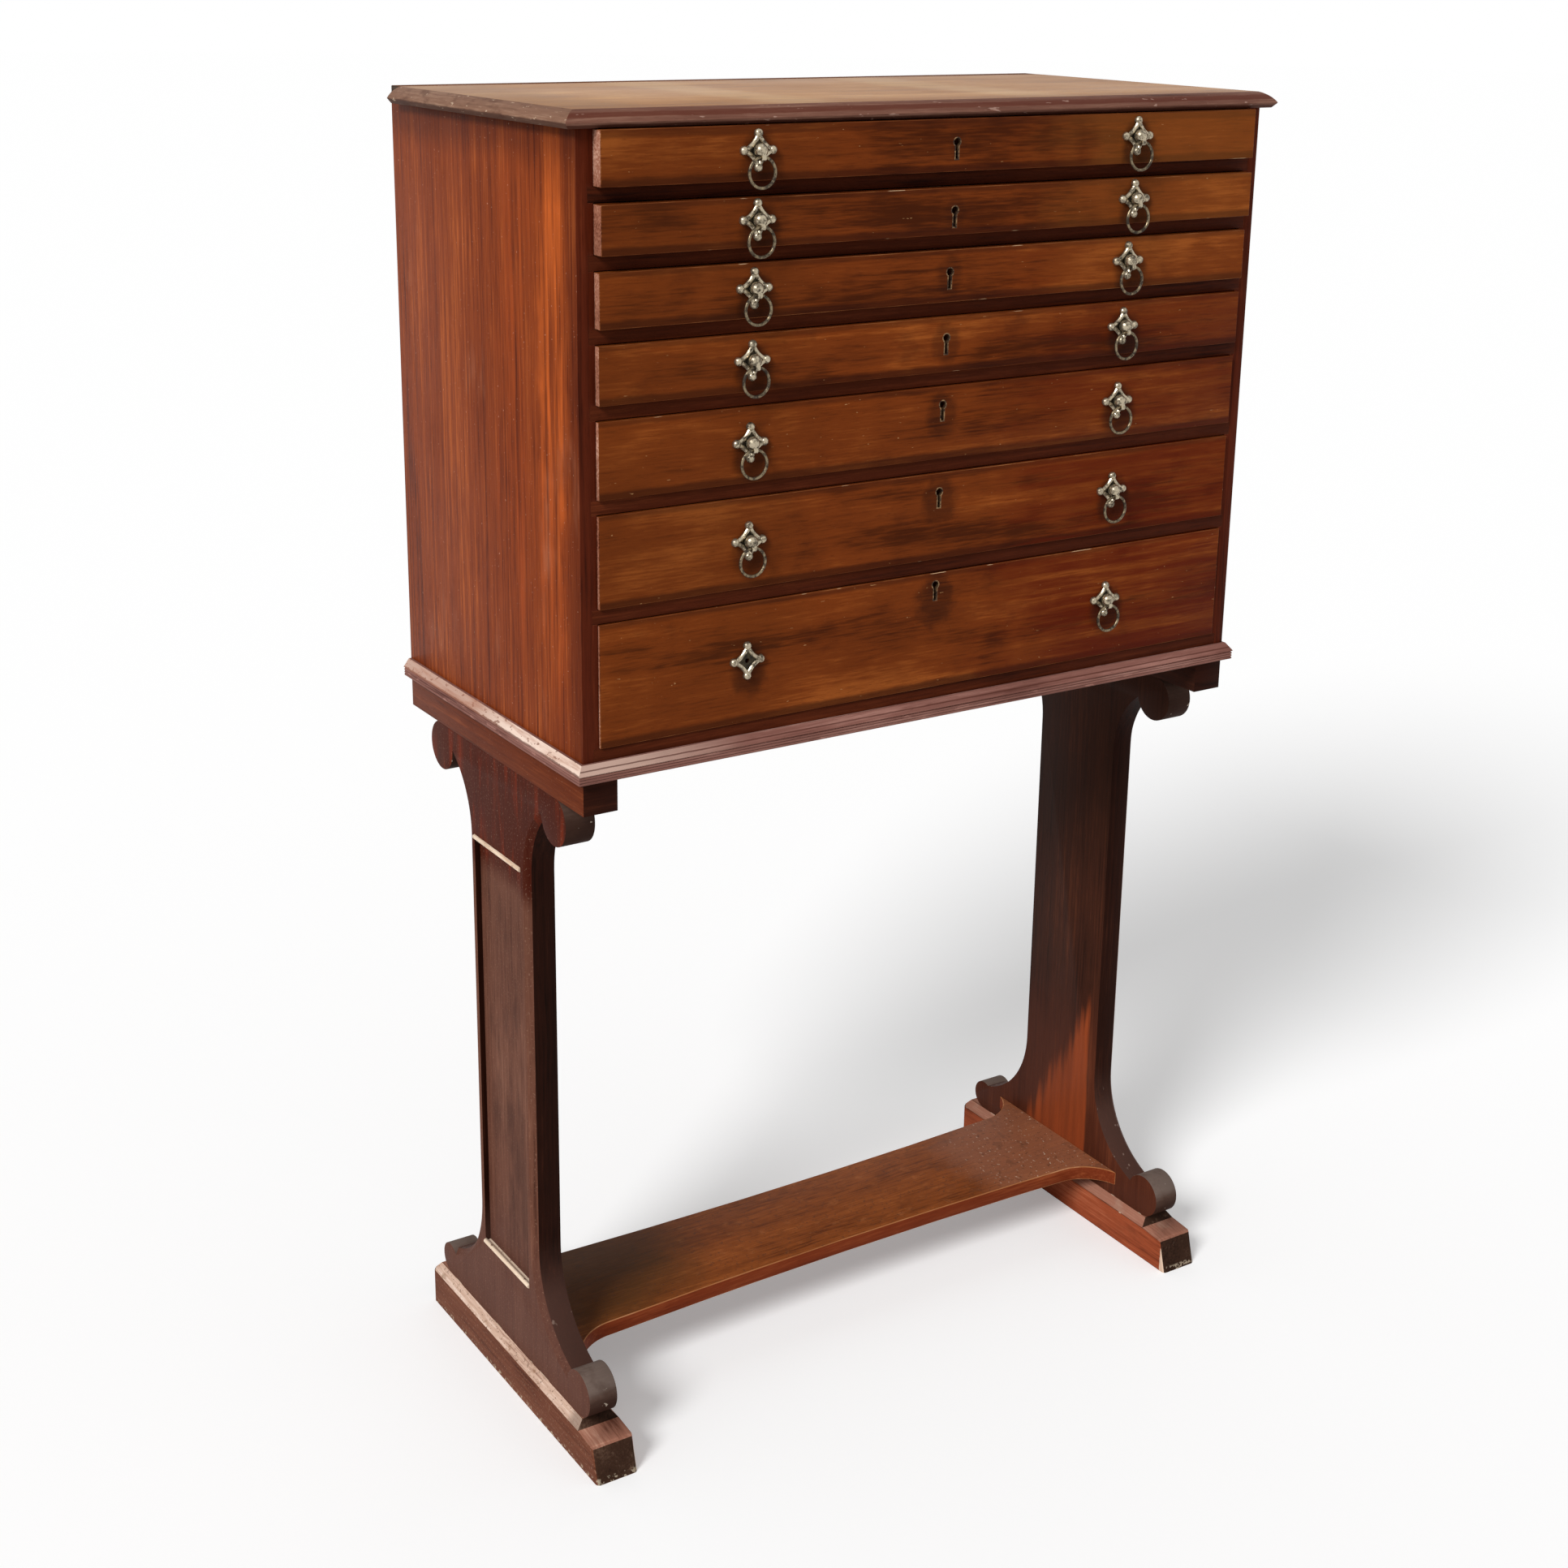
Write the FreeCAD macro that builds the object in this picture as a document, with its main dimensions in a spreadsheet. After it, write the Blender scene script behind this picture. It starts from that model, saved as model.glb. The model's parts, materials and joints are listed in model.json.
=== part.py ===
"""Specimen cabinet: a case of seven graduated drawers on a trestle stand with scrolled ends.

The frame has X to the right, -Y to the front and Z up. The origin is on the floor, at the
middle of the cabinet's overall width and depth. All lengths are in millimetres.
"""
import FreeCAD, Part
import math
import os
import Sketcher

DRAWERS = range(1, 8)
SIDES = (("left", -1), ("right", 1))

# The driving dimensions. Each one stands in the sheet under its own name.
SIZES = {
    # case
    "case_width": 700,
    "case_depth": 345,
    "side_thickness": 15,
    "back_thickness": 20,
    "rail_height": 12,
    "bottom_rail_height": 11,
    "rail_depth": 45,
    "housing_depth": 5,
    "runner_width": 18,
    "stop_height": 9,
    "stop_length": 14.7,
    "stop_clearance": 0.3,
    # top board and its moulded edge
    "top_thickness": 14,
    "top_side_overhang": 13,
    "top_front_overhang": 10,
    "edge_slope_width": 13,
    "edge_slope_drop": 9.5,
    "edge_slope_radius": 22,
    "edge_undercut": 4,
    # heights of the drawer openings, from the top
    "opening_1": 44,
    "opening_2": 40,
    "opening_3": 45,
    "opening_4": 48,
    "opening_5": 64,
    "opening_6": 78,
    "opening_7": 106,
    # how far each drawer front stands out of the case
    "proud_1": 12,
    "proud_2": 12,
    "proud_3": 8,
    "proud_4": 6,
    "proud_5": 4,
    "proud_6": 3,
    "proud_7": 2,
    "proud_shut": 2,
    # drawers
    "drawer_side_gap": 0.5,
    "drawer_top_gap": 0.7,
    "drawer_running_gap": 0.3,
    "front_thickness": 20,
    "drawer_board": 8,
    "drawer_bottom_board": 4,
    "drawer_bottom_raise": 2,
    "drawer_side_drop": 4,
    # pulls
    "pull_offset": 195,
    "pull_above_centre": 2,
    "plate_reach": 13.2,
    "plate_edge_radius": 22,
    "plate_thickness": 1.2,
    "corner_ball_radius": 2.8,
    "boss_radius": 5.8,
    "boss_reach": 3.6,
    "eye_radius": 3.1,
    "eye_width": 4,
    "eye_reach": 6.2,
    "eye_drop": 5,
    "eye_hole_radius": 1.85,
    "spigot_radius": 2.2,
    "spigot_gap": 0.1,
    "nut_radius": 5,
    "nut_thickness": 3,
    "ring_radius": 12,
    "ring_wire_radius": 1.35,
    "ring_lift": 0.1,
    # keyholes and locks
    "keyhole_drop_1": 24,
    "keyhole_drop_2": 24,
    "keyhole_drop_3": 24,
    "keyhole_drop_4": 23,
    "keyhole_drop_5": 21,
    "keyhole_drop_6": 22,
    "keyhole_drop_7": 16,
    "keyhole_height": 19,
    "keyhole_radius": 3.2,
    "keyhole_slot_width": 2.8,
    "thread_wall": 1,
    "thread_depth": 3,
    "lock_width": 46,
    "lock_thickness": 8,
    "lock_height": 32,
    "bolt_width": 12,
    "bolt_thickness": 3,
    "bolt_length": 22,
    "bolt_setback": 15.5,
    "bolt_gap": 0.15,
    "bolt_mortise_depth": 5,
    "bolt_mortise_gap": 0.5,
    # base moulding
    "moulding_height": 16,
    "moulding_projection": 8,
    "moulding_top_projection": 2.5,
    "moulding_slope_height": 7.5,
    "reed_radius": 1.2,
    "reed_inset": 1.6,
    # stand
    "bearer_width": 32,
    "bearer_height": 30,
    "upright_height": 588,
    "upright_thickness": 28,
    "upright_inset": 2,
    "waist_half_depth": 58,
    "top_flare_start": 92,
    "top_flare_radius": 79.5,
    "top_scroll_radius": 23,
    "top_scroll_offset": 113,
    "foot_flare_start": 121,
    "foot_flare_radius": 95.4,
    "foot_scroll_radius": 22,
    "foot_scroll_offset": 144,
    "heel_scroll_radius": 16,
    "heel_scroll_offset": 131,
    "arris_chamfer": 5.5,
    "panel_half_depth": 47,
    "panel_depth": 5.5,
    "panel_top_drop": 91,
    "panel_bottom_rise": 80,
    "panel_bead_radius": 2.2,
    "foot_ledge": 7,
    "foot_height": 44,
    "foot_block_height": 35,
    "foot_front_reach": 192,
    "foot_back_reach": 160,
    "plinth_front_reach": 158,
    "toe_height": 33,
    "toe_rake": 9,
    "shelf_top_rise": 28,
    "shelf_thickness": 15,
    "shelf_end_half_depth": 101,
    "shelf_side_half_depth": 66,
    "shelf_middle_half_depth": 60,
    "shelf_flare_radius": 48,
    # joints of the stand
    "tenon_thickness": 14,
    "tenon_half_depth": 40,
    "tenon_length": 16,
    "mortise_relief": 0.5,
    "shelf_tenon_length": 8,
    "shelf_tenon_cheek": 3,
    "screw_radius": 2.5,
    "screw_head_radius": 5,
    "screw_head_height": 3,
    "screw_bite": 20,
    "screw_gap": 0.1,
    "bearer_screw_inset": 20.5,
    "foot_screw_offset": 26,
}


class Size:
    """A length with its value now and the sheet expression that it is bound to."""

    def __init__(self, value, text):
        self.value = value
        self.text = text

    def __add__(self, other):
        other = as_size(other)
        return Size(self.value + other.value, f"({self.text} + {other.text})")

    def __sub__(self, other):
        other = as_size(other)
        return Size(self.value - other.value, f"({self.text} - {other.text})")

    def __mul__(self, other):
        other = as_size(other)
        return Size(self.value * other.value, f"({self.text} * {other.text})")

    def __truediv__(self, other):
        other = as_size(other)
        return Size(self.value / other.value, f"({self.text} / {other.text})")

    def __neg__(self):
        return Size(-self.value, f"(-{self.text})")

    __radd__ = __add__
    __rmul__ = __mul__

    def __rsub__(self, other):
        return as_size(other) - self


def as_size(length):
    """Takes a plain number as a size that never changes."""
    if isinstance(length, Size):
        return length
    return Size(length, str(length))


def root(square):
    """Square root of a product of sizes."""
    return Size(math.sqrt(square.value), f"sqrt({square.text})")


doc = FreeCAD.newDocument("SpecimenCabinet")
sheet = doc.addObject("Spreadsheet::Sheet", "Sizes")
size = {}
for row, (alias, length) in enumerate(SIZES.items(), start=1):
    sheet.set(f"A{row}", alias.replace("_", " "))
    sheet.set(f"B{row}", str(length))
    sheet.setAlias(f"B{row}", alias)
    size[alias] = Size(float(length), f"Sizes.{alias}")
doc.recompute()

nodes = []


# Helpers ---------------------------------------------------------------------------------


def bind(thing, **lengths):
    """Ties properties of an object to the sheet."""
    for name, length in lengths.items():
        thing.setExpression(name, as_size(length).text)


def place(thing, x, y, z):
    """Ties the position of an object to the sheet."""
    for axis, length in zip("xyz", (x, y, z)):
        thing.setExpression(f"Placement.Base.{axis}", as_size(length).text)


def turn(thing, axis, angle):
    """Turns an object before it is placed."""
    thing.Placement = FreeCAD.Placement(FreeCAD.Vector(), FreeCAD.Rotation(axis, angle))


def box(label, low, high):
    """A block between its lowest and its highest corner."""
    block = doc.addObject("Part::Box", label)
    length, width, height = (top - bottom for bottom, top in zip(map(as_size, low), high))
    bind(block, Length=length, Width=width, Height=height)
    place(block, *low)
    return block


# How a cylinder along Z is turned to lie along each axis.
ALONG = {
    "X": (FreeCAD.Vector(0, 1, 0), 90),
    "Y": (FreeCAD.Vector(1, 0, 0), -90),
    "Z": (FreeCAD.Vector(0, 0, 1), 0),
}


def rod(label, axis, start, radius, length):
    """A cylinder from the middle of its first end along an axis."""
    cylinder = doc.addObject("Part::Cylinder", label)
    turn(cylinder, *ALONG[axis])
    bind(cylinder, Radius=radius, Height=length)
    place(cylinder, *start)
    return cylinder


def ball(label, centre, radius):
    """A sphere."""
    sphere = doc.addObject("Part::Sphere", label)
    bind(sphere, Radius=radius)
    place(sphere, *centre)
    return sphere


def fuse(label, *pieces):
    """One solid made of several."""
    union = doc.addObject("Part::MultiFuse", label)
    union.Shapes = list(pieces)
    return union


def group(label, *pieces):
    """Separate solids held under one name."""
    compound = doc.addObject("Part::Compound", label)
    compound.Links = list(pieces)
    return compound


def cut(label, base, *tools):
    """A solid with one or more others taken out of it."""
    result = doc.addObject("Part::Cut", label)
    result.Base = base
    result.Tool = tools[0] if len(tools) == 1 else fuse(f"{label}_cutters", *tools)
    return result


def node(name, thing):
    """Names a finished sub-part."""
    thing.Label = name
    nodes.append(thing)
    return thing


class Profile:
    """A closed outline of lines and arcs, given corner by corner as pairs of sizes."""

    def __init__(self, *start):
        self.corners = [start]
        self.edges = []

    def line(self, *corner):
        """A straight edge to the next corner."""
        self.edges.append(None)
        self.corners.append(corner)
        return self

    def arc(self, corner, radius, way):
        """An arc to the next corner; way is 1 for anticlockwise and -1 for clockwise."""
        self.edges.append((as_size(radius), way))
        self.corners.append(corner)
        return self

    def point(self, index):
        """A corner as a vector, at the sizes of now."""
        across, up = map(as_size, self.corners[index % len(self.edges)])
        return FreeCAD.Vector(across.value, up.value, 0)

    def arc_centre(self, index):
        """The centre of an arc, which lies on the left of an anticlockwise one."""
        radius, way = self.edges[index]
        start = self.point(index)
        chord = self.point(index + 1) - start
        reach = math.sqrt(radius.value**2 - (chord.Length / 2)**2)
        return start + chord / 2 + FreeCAD.Vector(-chord.y, chord.x, 0).normalize() * reach * way

    def draw(self, sketch):
        """Draws the outline in a sketch and ties it to the sheet."""
        ends = []
        for index, edge in enumerate(self.edges):
            start, stop = self.point(index), self.point(index + 1)
            if edge is None:
                sketch.addGeometry(Part.LineSegment(start, stop), False)
                ends.append((1, 2))
                continue
            radius, way = edge
            centre = self.arc_centre(index)
            circle = Part.Circle(centre, FreeCAD.Vector(0, 0, 1), radius.value)
            first, last = (start, stop) if way > 0 else (stop, start)
            angles = [math.atan2(end.y - centre.y, end.x - centre.x) for end in (first, last)]
            sketch.addGeometry(Part.ArcOfCircle(circle, *angles), False)
            ends.append((1, 2) if way > 0 else (2, 1))
        for index, edge in enumerate(self.edges):
            following = (index + 1) % len(self.edges)
            sketch.addConstraint(Sketcher.Constraint(
                "Coincident", index, ends[index][1], following, ends[following][0]))
            for direction, length in zip(("DistanceX", "DistanceY"), self.corners[index]):
                self.tie(sketch, as_size(length), direction, -1, 1, index, ends[index][0])
            if edge is not None:
                self.tie(sketch, edge[0], "Radius", index)

    def tie(self, sketch, length, *constraint):
        """Adds a constraint whose value comes from the sheet."""
        index = sketch.addConstraint(Sketcher.Constraint(*constraint, length.value))
        sketch.setExpression(f"Constraints[{index}]", length.text)


def plank(label, plane, profile, thickness):
    """A body cut to an outline on one of its origin planes: YZ grows to +X, XZ to -Y, XY to +Z."""
    body = doc.addObject("PartDesign::Body", label)
    sketch = body.newObject("Sketcher::SketchObject", f"{label}_outline")
    role = f"{plane}_Plane"
    origin_plane = next(face for face in body.Origin.OriginFeatures if face.Role == role)
    sketch.AttachmentSupport = [(origin_plane, "")]
    sketch.MapMode = "FlatFace"
    profile.draw(sketch)
    pad = body.newObject("PartDesign::Pad", f"{label}_board")
    pad.Profile = sketch
    bind(pad, Length=thickness)
    return body


# Lines that several pieces share ----------------------------------------------------------

case_half = size["case_width"] / 2
inner_half = case_half - size["side_thickness"]
bearer_inner = case_half - size["bearer_width"]
upright_outer = case_half - size["upright_inset"]
upright_inner = upright_outer - size["upright_thickness"]
foot_outer = upright_outer + size["foot_ledge"]
foot_inner = upright_inner - size["foot_ledge"]

# The most forward drawer front carries the bosses that reach furthest to the front.
front_reach = (size["case_depth"] / 2 + size["proud_1"] + size["plate_thickness"]
               + size["boss_reach"] + size["boss_radius"])
middle = (front_reach - size["case_depth"] / 2) / 2
case_front = middle - size["case_depth"] / 2
case_back = middle + size["case_depth"] / 2
back_face = case_back - size["back_thickness"]

bearer_bottom = size["foot_height"] + size["upright_height"]
moulding_bottom = bearer_bottom + size["bearer_height"]
case_bottom = moulding_bottom + size["moulding_height"]

opening_low = {}
opening_high = {}
level = case_bottom + size["bottom_rail_height"]
for number in reversed(DRAWERS):
    opening_low[number] = level
    opening_high[number] = level + size[f"opening_{number}"]
    level = opening_high[number] + size["rail_height"]
case_top = opening_high[1]
overall_height = case_top + size["top_thickness"]

rail_back = case_front + size["rail_depth"]
drawer_length = (back_face - size["stop_length"] - size["stop_clearance"]
                 - (case_front - size["proud_shut"]))


# Locks and their mortises -----------------------------------------------------------------


def bolt_mortise(number):
    """The slot over a drawer that its lock bolt rises into, from rest to fully shut."""
    gap = size["bolt_mortise_gap"]
    front = case_front + size["bolt_setback"] - size[f"proud_{number}"] - gap
    back = case_front + size["bolt_setback"] + size["bolt_thickness"] - size["proud_shut"] + gap
    half = size["bolt_width"] / 2 + gap
    ceiling = opening_high[number]
    return box(f"bolt_mortise_{number}", (-half, front, ceiling),
               (half, back, ceiling + size["bolt_mortise_depth"]))


# Case -------------------------------------------------------------------------------------


def edge_profile(half_width, side):
    """Corners of the moulded edge of the top board, from the surface out and under."""
    tip_height = overall_height - size["edge_slope_drop"]
    tip = half_width * side
    surface = (half_width - size["edge_slope_width"]) * side
    under = (half_width - size["edge_undercut"]) * side
    return (surface, overall_height), (tip, tip_height), (under, case_top)


def top_board():
    """The top, moulded on its front and ends: one section across it met with one along it."""
    half_width = case_half + size["top_side_overhang"]
    radius = size["edge_slope_radius"]
    left_surface, left_tip, left_under = edge_profile(half_width, -1)
    right_surface, right_tip, right_under = edge_profile(half_width, 1)
    across = Profile(*right_surface)
    across.line(*left_surface).arc(left_tip, radius, 1).line(*left_under)
    across.line(*right_under).line(*right_tip).arc(right_surface, radius, 1)
    across_board = plank("top_section_across", "XZ", across, size["case_depth"] * 2)
    place(across_board, 0, case_back, 0)

    reach = -case_front + size["top_front_overhang"]
    front_surface, front_tip, front_under = edge_profile(reach, -1)
    along = Profile(back_face, overall_height)
    along.line(*front_surface).arc(front_tip, radius, 1).line(*front_under)
    along.line(back_face, case_top).line(back_face, overall_height)
    along_board = plank("top_section_along", "YZ", along, half_width * 2)
    place(along_board, -half_width, 0, 0)

    board = doc.addObject("Part::MultiCommon", "top_sections")
    board.Shapes = [across_board, along_board]
    node("top_board", cut("top_board_cut", board, bolt_mortise(1)))


def rail_levels():
    """The seven rails from the top: number of the drawer above, bottom and top."""
    for number in DRAWERS:
        top = opening_low[number]
        height = size["bottom_rail_height"] if number == DRAWERS[-1] else size["rail_height"]
        yield number, top - height, top


def rail(number, low, high, reach):
    """One rail across the case front, let into both sides."""
    return box(f"rail_{number}", (-reach, case_front, low), (reach, rail_back, high))


def divider_rails():
    """The rails between the drawers, each with the mortise for the bolt of the drawer below."""
    rails = []
    for number, low, high in rail_levels():
        board = rail(number, low, high, inner_half + size["housing_depth"])
        if number < DRAWERS[-1]:
            board = cut(f"rail_{number}_cut", board, bolt_mortise(number + 1))
        rails.append(board)
    node("divider_rails", group("rails", *rails))


def case_sides():
    """The two ends of the case, housed for the rails and bored for the bearer screws."""
    for name, side in SIDES:
        x_low, x_high = sorted((inner_half * side, case_half * side), key=lambda x: x.value)
        board = box(f"side_board_{name}", (x_low, case_front, case_bottom),
                    (x_high, case_back, case_top))
        housings = []
        for number, low, high in rail_levels():
            housings.append(rail(f"{number}_housing_{name}", low, high,
                                 inner_half + size["housing_depth"]))
        holes = [screw_hole(f"case_{name}_{spot}", *place_of, bearer_bottom, case_bottom)
                 for spot, place_of in enumerate(bearer_screw_places(side))]
        node(f"case_side_{name}", cut(f"case_side_{name}_cut", board, *housings, *holes))


def case_back_board():
    """The back, set between the sides, with ears that lie on them beside the top board."""
    outline = Profile(-inner_half, case_bottom)
    outline.line(inner_half, case_bottom).line(inner_half, case_top)
    outline.line(case_half, case_top).line(case_half, overall_height)
    outline.line(-case_half, overall_height).line(-case_half, case_top)
    outline.line(-inner_half, case_top).line(-inner_half, case_bottom)
    board = plank("back_board", "XZ", outline, size["back_thickness"])
    place(board, 0, case_back, 0)
    node("case_back", board)


def case_bottom_board():
    """The bottom, behind the lowest rail."""
    node("case_bottom", box("bottom_board", (-inner_half, rail_back, case_bottom),
                            (inner_half, back_face, opening_low[DRAWERS[-1]])))


def runners_and_stops():
    """Runners behind the six upper rails, and a stop block behind each drawer side."""
    runners = []
    stops = []
    for number, low, high in rail_levels():
        for name, side in SIDES:
            x_low, x_high = sorted(((inner_half - size["runner_width"]) * side,
                                    inner_half * side), key=lambda x: x.value)
            if number < DRAWERS[-1]:
                runners.append(box(f"runner_{number}_{name}", (x_low, rail_back, low),
                                   (x_high, back_face, high)))
            stops.append(box(f"stop_{number}_{name}",
                             (x_low, back_face - size["stop_length"], high),
                             (x_high, back_face, high + size["stop_height"])))
    node("drawer_runners", group("runners", *runners))
    node("drawer_stops", group("stops", *stops))


# Radius of the arc of a reed over half its height, so that the arc is just under a half circle.
REED_ROUNDING = 1.02
REEDS = 3


def moulding_profile(face, side):
    """Section of the base moulding: a sloping fillet over three reeds, outwards from a face."""

    def out(projection):
        return (face + projection) * side

    slope_foot = case_bottom - size["moulding_slope_height"]
    reed_out = out(size["moulding_projection"] - size["reed_inset"])
    inner = (face - size["bearer_width"]) * side
    section = Profile(inner, moulding_bottom)
    section.line(reed_out, moulding_bottom)
    level = moulding_bottom
    for _ in range(REEDS):
        level = level + size["reed_radius"] * 2
        section.arc((reed_out, level), size["reed_radius"] * REED_ROUNDING, side)
    section.line(out(size["moulding_projection"]), slope_foot)
    section.line(out(size["moulding_top_projection"]), case_bottom)
    section.line(inner, case_bottom).line(inner, moulding_bottom)
    return section


def mitre(label, side, angle):
    """A block turned to cut a mitre at a front corner of the base moulding.

    One of its upright edges lies in the mitre, well outside the corner, and the block is long
    and wide enough to reach past the inner edge of the moulding.
    """
    outside = size["bearer_width"] * 2
    width = outside * 4
    block = doc.addObject("Part::Box", label)
    turn(block, FreeCAD.Vector(0, 0, 1), angle)
    bind(block, Length=width, Width=width, Height=size["moulding_height"] * 2)
    corner = case_half + size["moulding_projection"] + outside
    place(block, corner * side, case_front - size["moulding_projection"] - outside,
          moulding_bottom - size["moulding_height"] / 2)
    return block


def base_moulding():
    """The moulding under the case: a front length and two returns, mitred at the corners."""
    half_width = case_half + size["moulding_projection"]
    front = plank("moulding_front", "YZ", moulding_profile(-case_front, -1), half_width * 2)
    place(front, -half_width, 0, 0)
    mitres = [mitre(f"front_mitre_{name}", side, 45) for name, side in SIDES]
    node("base_moulding_front", cut("moulding_front_cut", front, *mitres))
    for name, side in SIDES:
        length = size["case_depth"] + size["moulding_projection"]
        strip = plank(f"moulding_{name}", "XZ", moulding_profile(case_half, side), length)
        place(strip, 0, case_back, 0)
        angle = 135 if side > 0 else -45
        holes = [screw_hole(f"moulding_{name}_{spot}", *place_of, bearer_bottom, case_bottom)
                 for spot, place_of in enumerate(bearer_screw_places(side))]
        node(f"base_moulding_{name}", cut(f"moulding_{name}_cut", strip,
                                          mitre(f"mitre_{name}", side, angle), *holes))


# Stand ------------------------------------------------------------------------------------


def bearer_screw_places(side):
    """Where the screws rise through a bearer into the case side, front and back."""
    across = (case_half - size["side_thickness"] / 2) * side
    reach = size["case_depth"] / 2 - size["bearer_screw_inset"]
    return [(across, middle + reach * end) for end in (-1, 1)]


def foot_screw_places(side):
    """Where the screws rise through a foot into its upright, front and back."""
    across = (upright_inner + upright_outer) / 2 * side
    return [(across, middle + size["foot_screw_offset"] * end) for end in (-1, 1)]


def screw_shape(label, x, y, low, high, gap):
    """A screw with its head at the bottom, or the hole for it with a gap all round."""
    head = rod(f"{label}_head", "Z", (x, y, low), size["screw_head_radius"] + gap,
               size["screw_head_height"] + gap)
    shank = rod(f"{label}_shank", "Z", (x, y, low), size["screw_radius"] + gap,
                high + size["screw_bite"] + gap - low)
    return fuse(label, head, shank)


def screw_hole(label, x, y, low, high):
    """The hole for a screw that holds two pieces across a joint."""
    return screw_shape(f"screw_hole_{label}", x, y, low, high, size["screw_gap"])


def stand_screws():
    """The screws of both bearers and both feet."""
    screws = []
    for name, side in SIDES:
        for spot, (x, y) in enumerate(bearer_screw_places(side)):
            screws.append(screw_shape(f"bearer_screw_{name}_{spot}", x, y, bearer_bottom,
                                      case_bottom, 0))
        for spot, (x, y) in enumerate(foot_screw_places(side)):
            screws.append(screw_shape(f"foot_screw_{name}_{spot}", x, y, screw_seat(),
                                      size["foot_height"], 0))
    node("stand_screws", group("screws", *screws))


def screw_seat():
    """Height at which the foot screws sit in their counterbores."""
    return size["screw_head_height"]


def tenon(label, side, low, high):
    """A tenon of an upright, or the mortise for it."""
    centre = (upright_inner + upright_outer) / 2 * side
    half = size["tenon_thickness"] / 2
    return box(label, (centre - half, middle - size["tenon_half_depth"], low),
               (centre + half, middle + size["tenon_half_depth"], high))


def bearers():
    """The blocks that lie between the case and the uprights."""
    for name, side in SIDES:
        x_low, x_high = sorted((bearer_inner * side, case_half * side), key=lambda x: x.value)
        block = box(f"bearer_block_{name}", (x_low, case_front, bearer_bottom),
                    (x_high, case_back, moulding_bottom))
        mortise = tenon(f"bearer_mortise_{name}", side, bearer_bottom,
                        bearer_bottom + size["tenon_length"] + size["mortise_relief"])
        holes = [screw_hole(f"bearer_{name}_{spot}", *place_of, bearer_bottom, case_bottom)
                 for spot, place_of in enumerate(bearer_screw_places(side))]
        node(f"bearer_{name}", cut(f"bearer_{name}_cut", block, mortise, *holes))


def scrolls(name, low):
    """The two scrolls at the head of an upright and those at its toe and heel."""
    thickness = size["upright_thickness"]
    head = bearer_bottom - size["top_scroll_radius"]
    offset = size["top_scroll_offset"]
    places = [("head_front", -offset, head, size["top_scroll_radius"]),
              ("head_back", offset, head, size["top_scroll_radius"]),
              ("toe", -size["foot_scroll_offset"],
               size["foot_height"] + size["foot_scroll_radius"], size["foot_scroll_radius"]),
              ("heel", size["heel_scroll_offset"],
               size["foot_height"] + size["heel_scroll_radius"], size["heel_scroll_radius"])]
    return [rod(f"scroll_{name}_{part}", "X", (low, middle + across, height), radius, thickness)
            for part, across, height, radius in places]


def flare_end(start, radius, offset, way):
    """Where a hollow flare that leaves the waist at a height ends, inside its scroll."""
    across = size["waist_half_depth"] + radius - offset
    return start + root(radius * radius - across * across) * way


def upright_profile():
    """Outline of an upright without its scrolls: hollow flares above and below a waist."""
    waist = size["waist_half_depth"]
    top = bearer_bottom
    floor = size["foot_height"]
    top_start = top - size["top_flare_start"]
    foot_start = floor + size["foot_flare_start"]
    top_radius = size["top_flare_radius"]
    foot_radius = size["foot_flare_radius"]
    head = size["top_scroll_offset"]
    toe = size["foot_scroll_offset"]
    heel = size["heel_scroll_offset"]
    top_end = flare_end(top_start, top_radius, head, 1)
    toe_end = flare_end(foot_start, foot_radius, toe, -1)
    heel_end = flare_end(foot_start, foot_radius, heel, -1)
    outline = Profile(-head, top)
    outline.line(head, top).line(head, top_end)
    outline.arc((waist, top_start), top_radius, 1).line(waist, foot_start)
    outline.arc((heel, heel_end), foot_radius, 1).line(heel, floor)
    outline.line(-toe, floor).line(-toe, toe_end)
    outline.arc((-waist, foot_start), foot_radius, 1).line(-waist, top_start)
    outline.arc((-head, top_end), top_radius, 1).line(-head, top)
    return outline


def waist_edges(shape, outer_face):
    """Names of the straight edges of the waist on the outer face; the flares follow them."""
    names = []
    for index, edge in enumerate(shape.Edges, start=1):
        ends = [vertex.Point for vertex in edge.Vertexes]
        upright = len(ends) == 2 and abs(ends[0].y - ends[1].y) < 0.01
        on_face = all(abs(end.x - outer_face) < 0.01 for end in ends)
        if upright and on_face and abs(ends[0].z - ends[1].z) > size["upright_height"].value / 3:
            names.append(f"Edge{index}")
    return names


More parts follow.
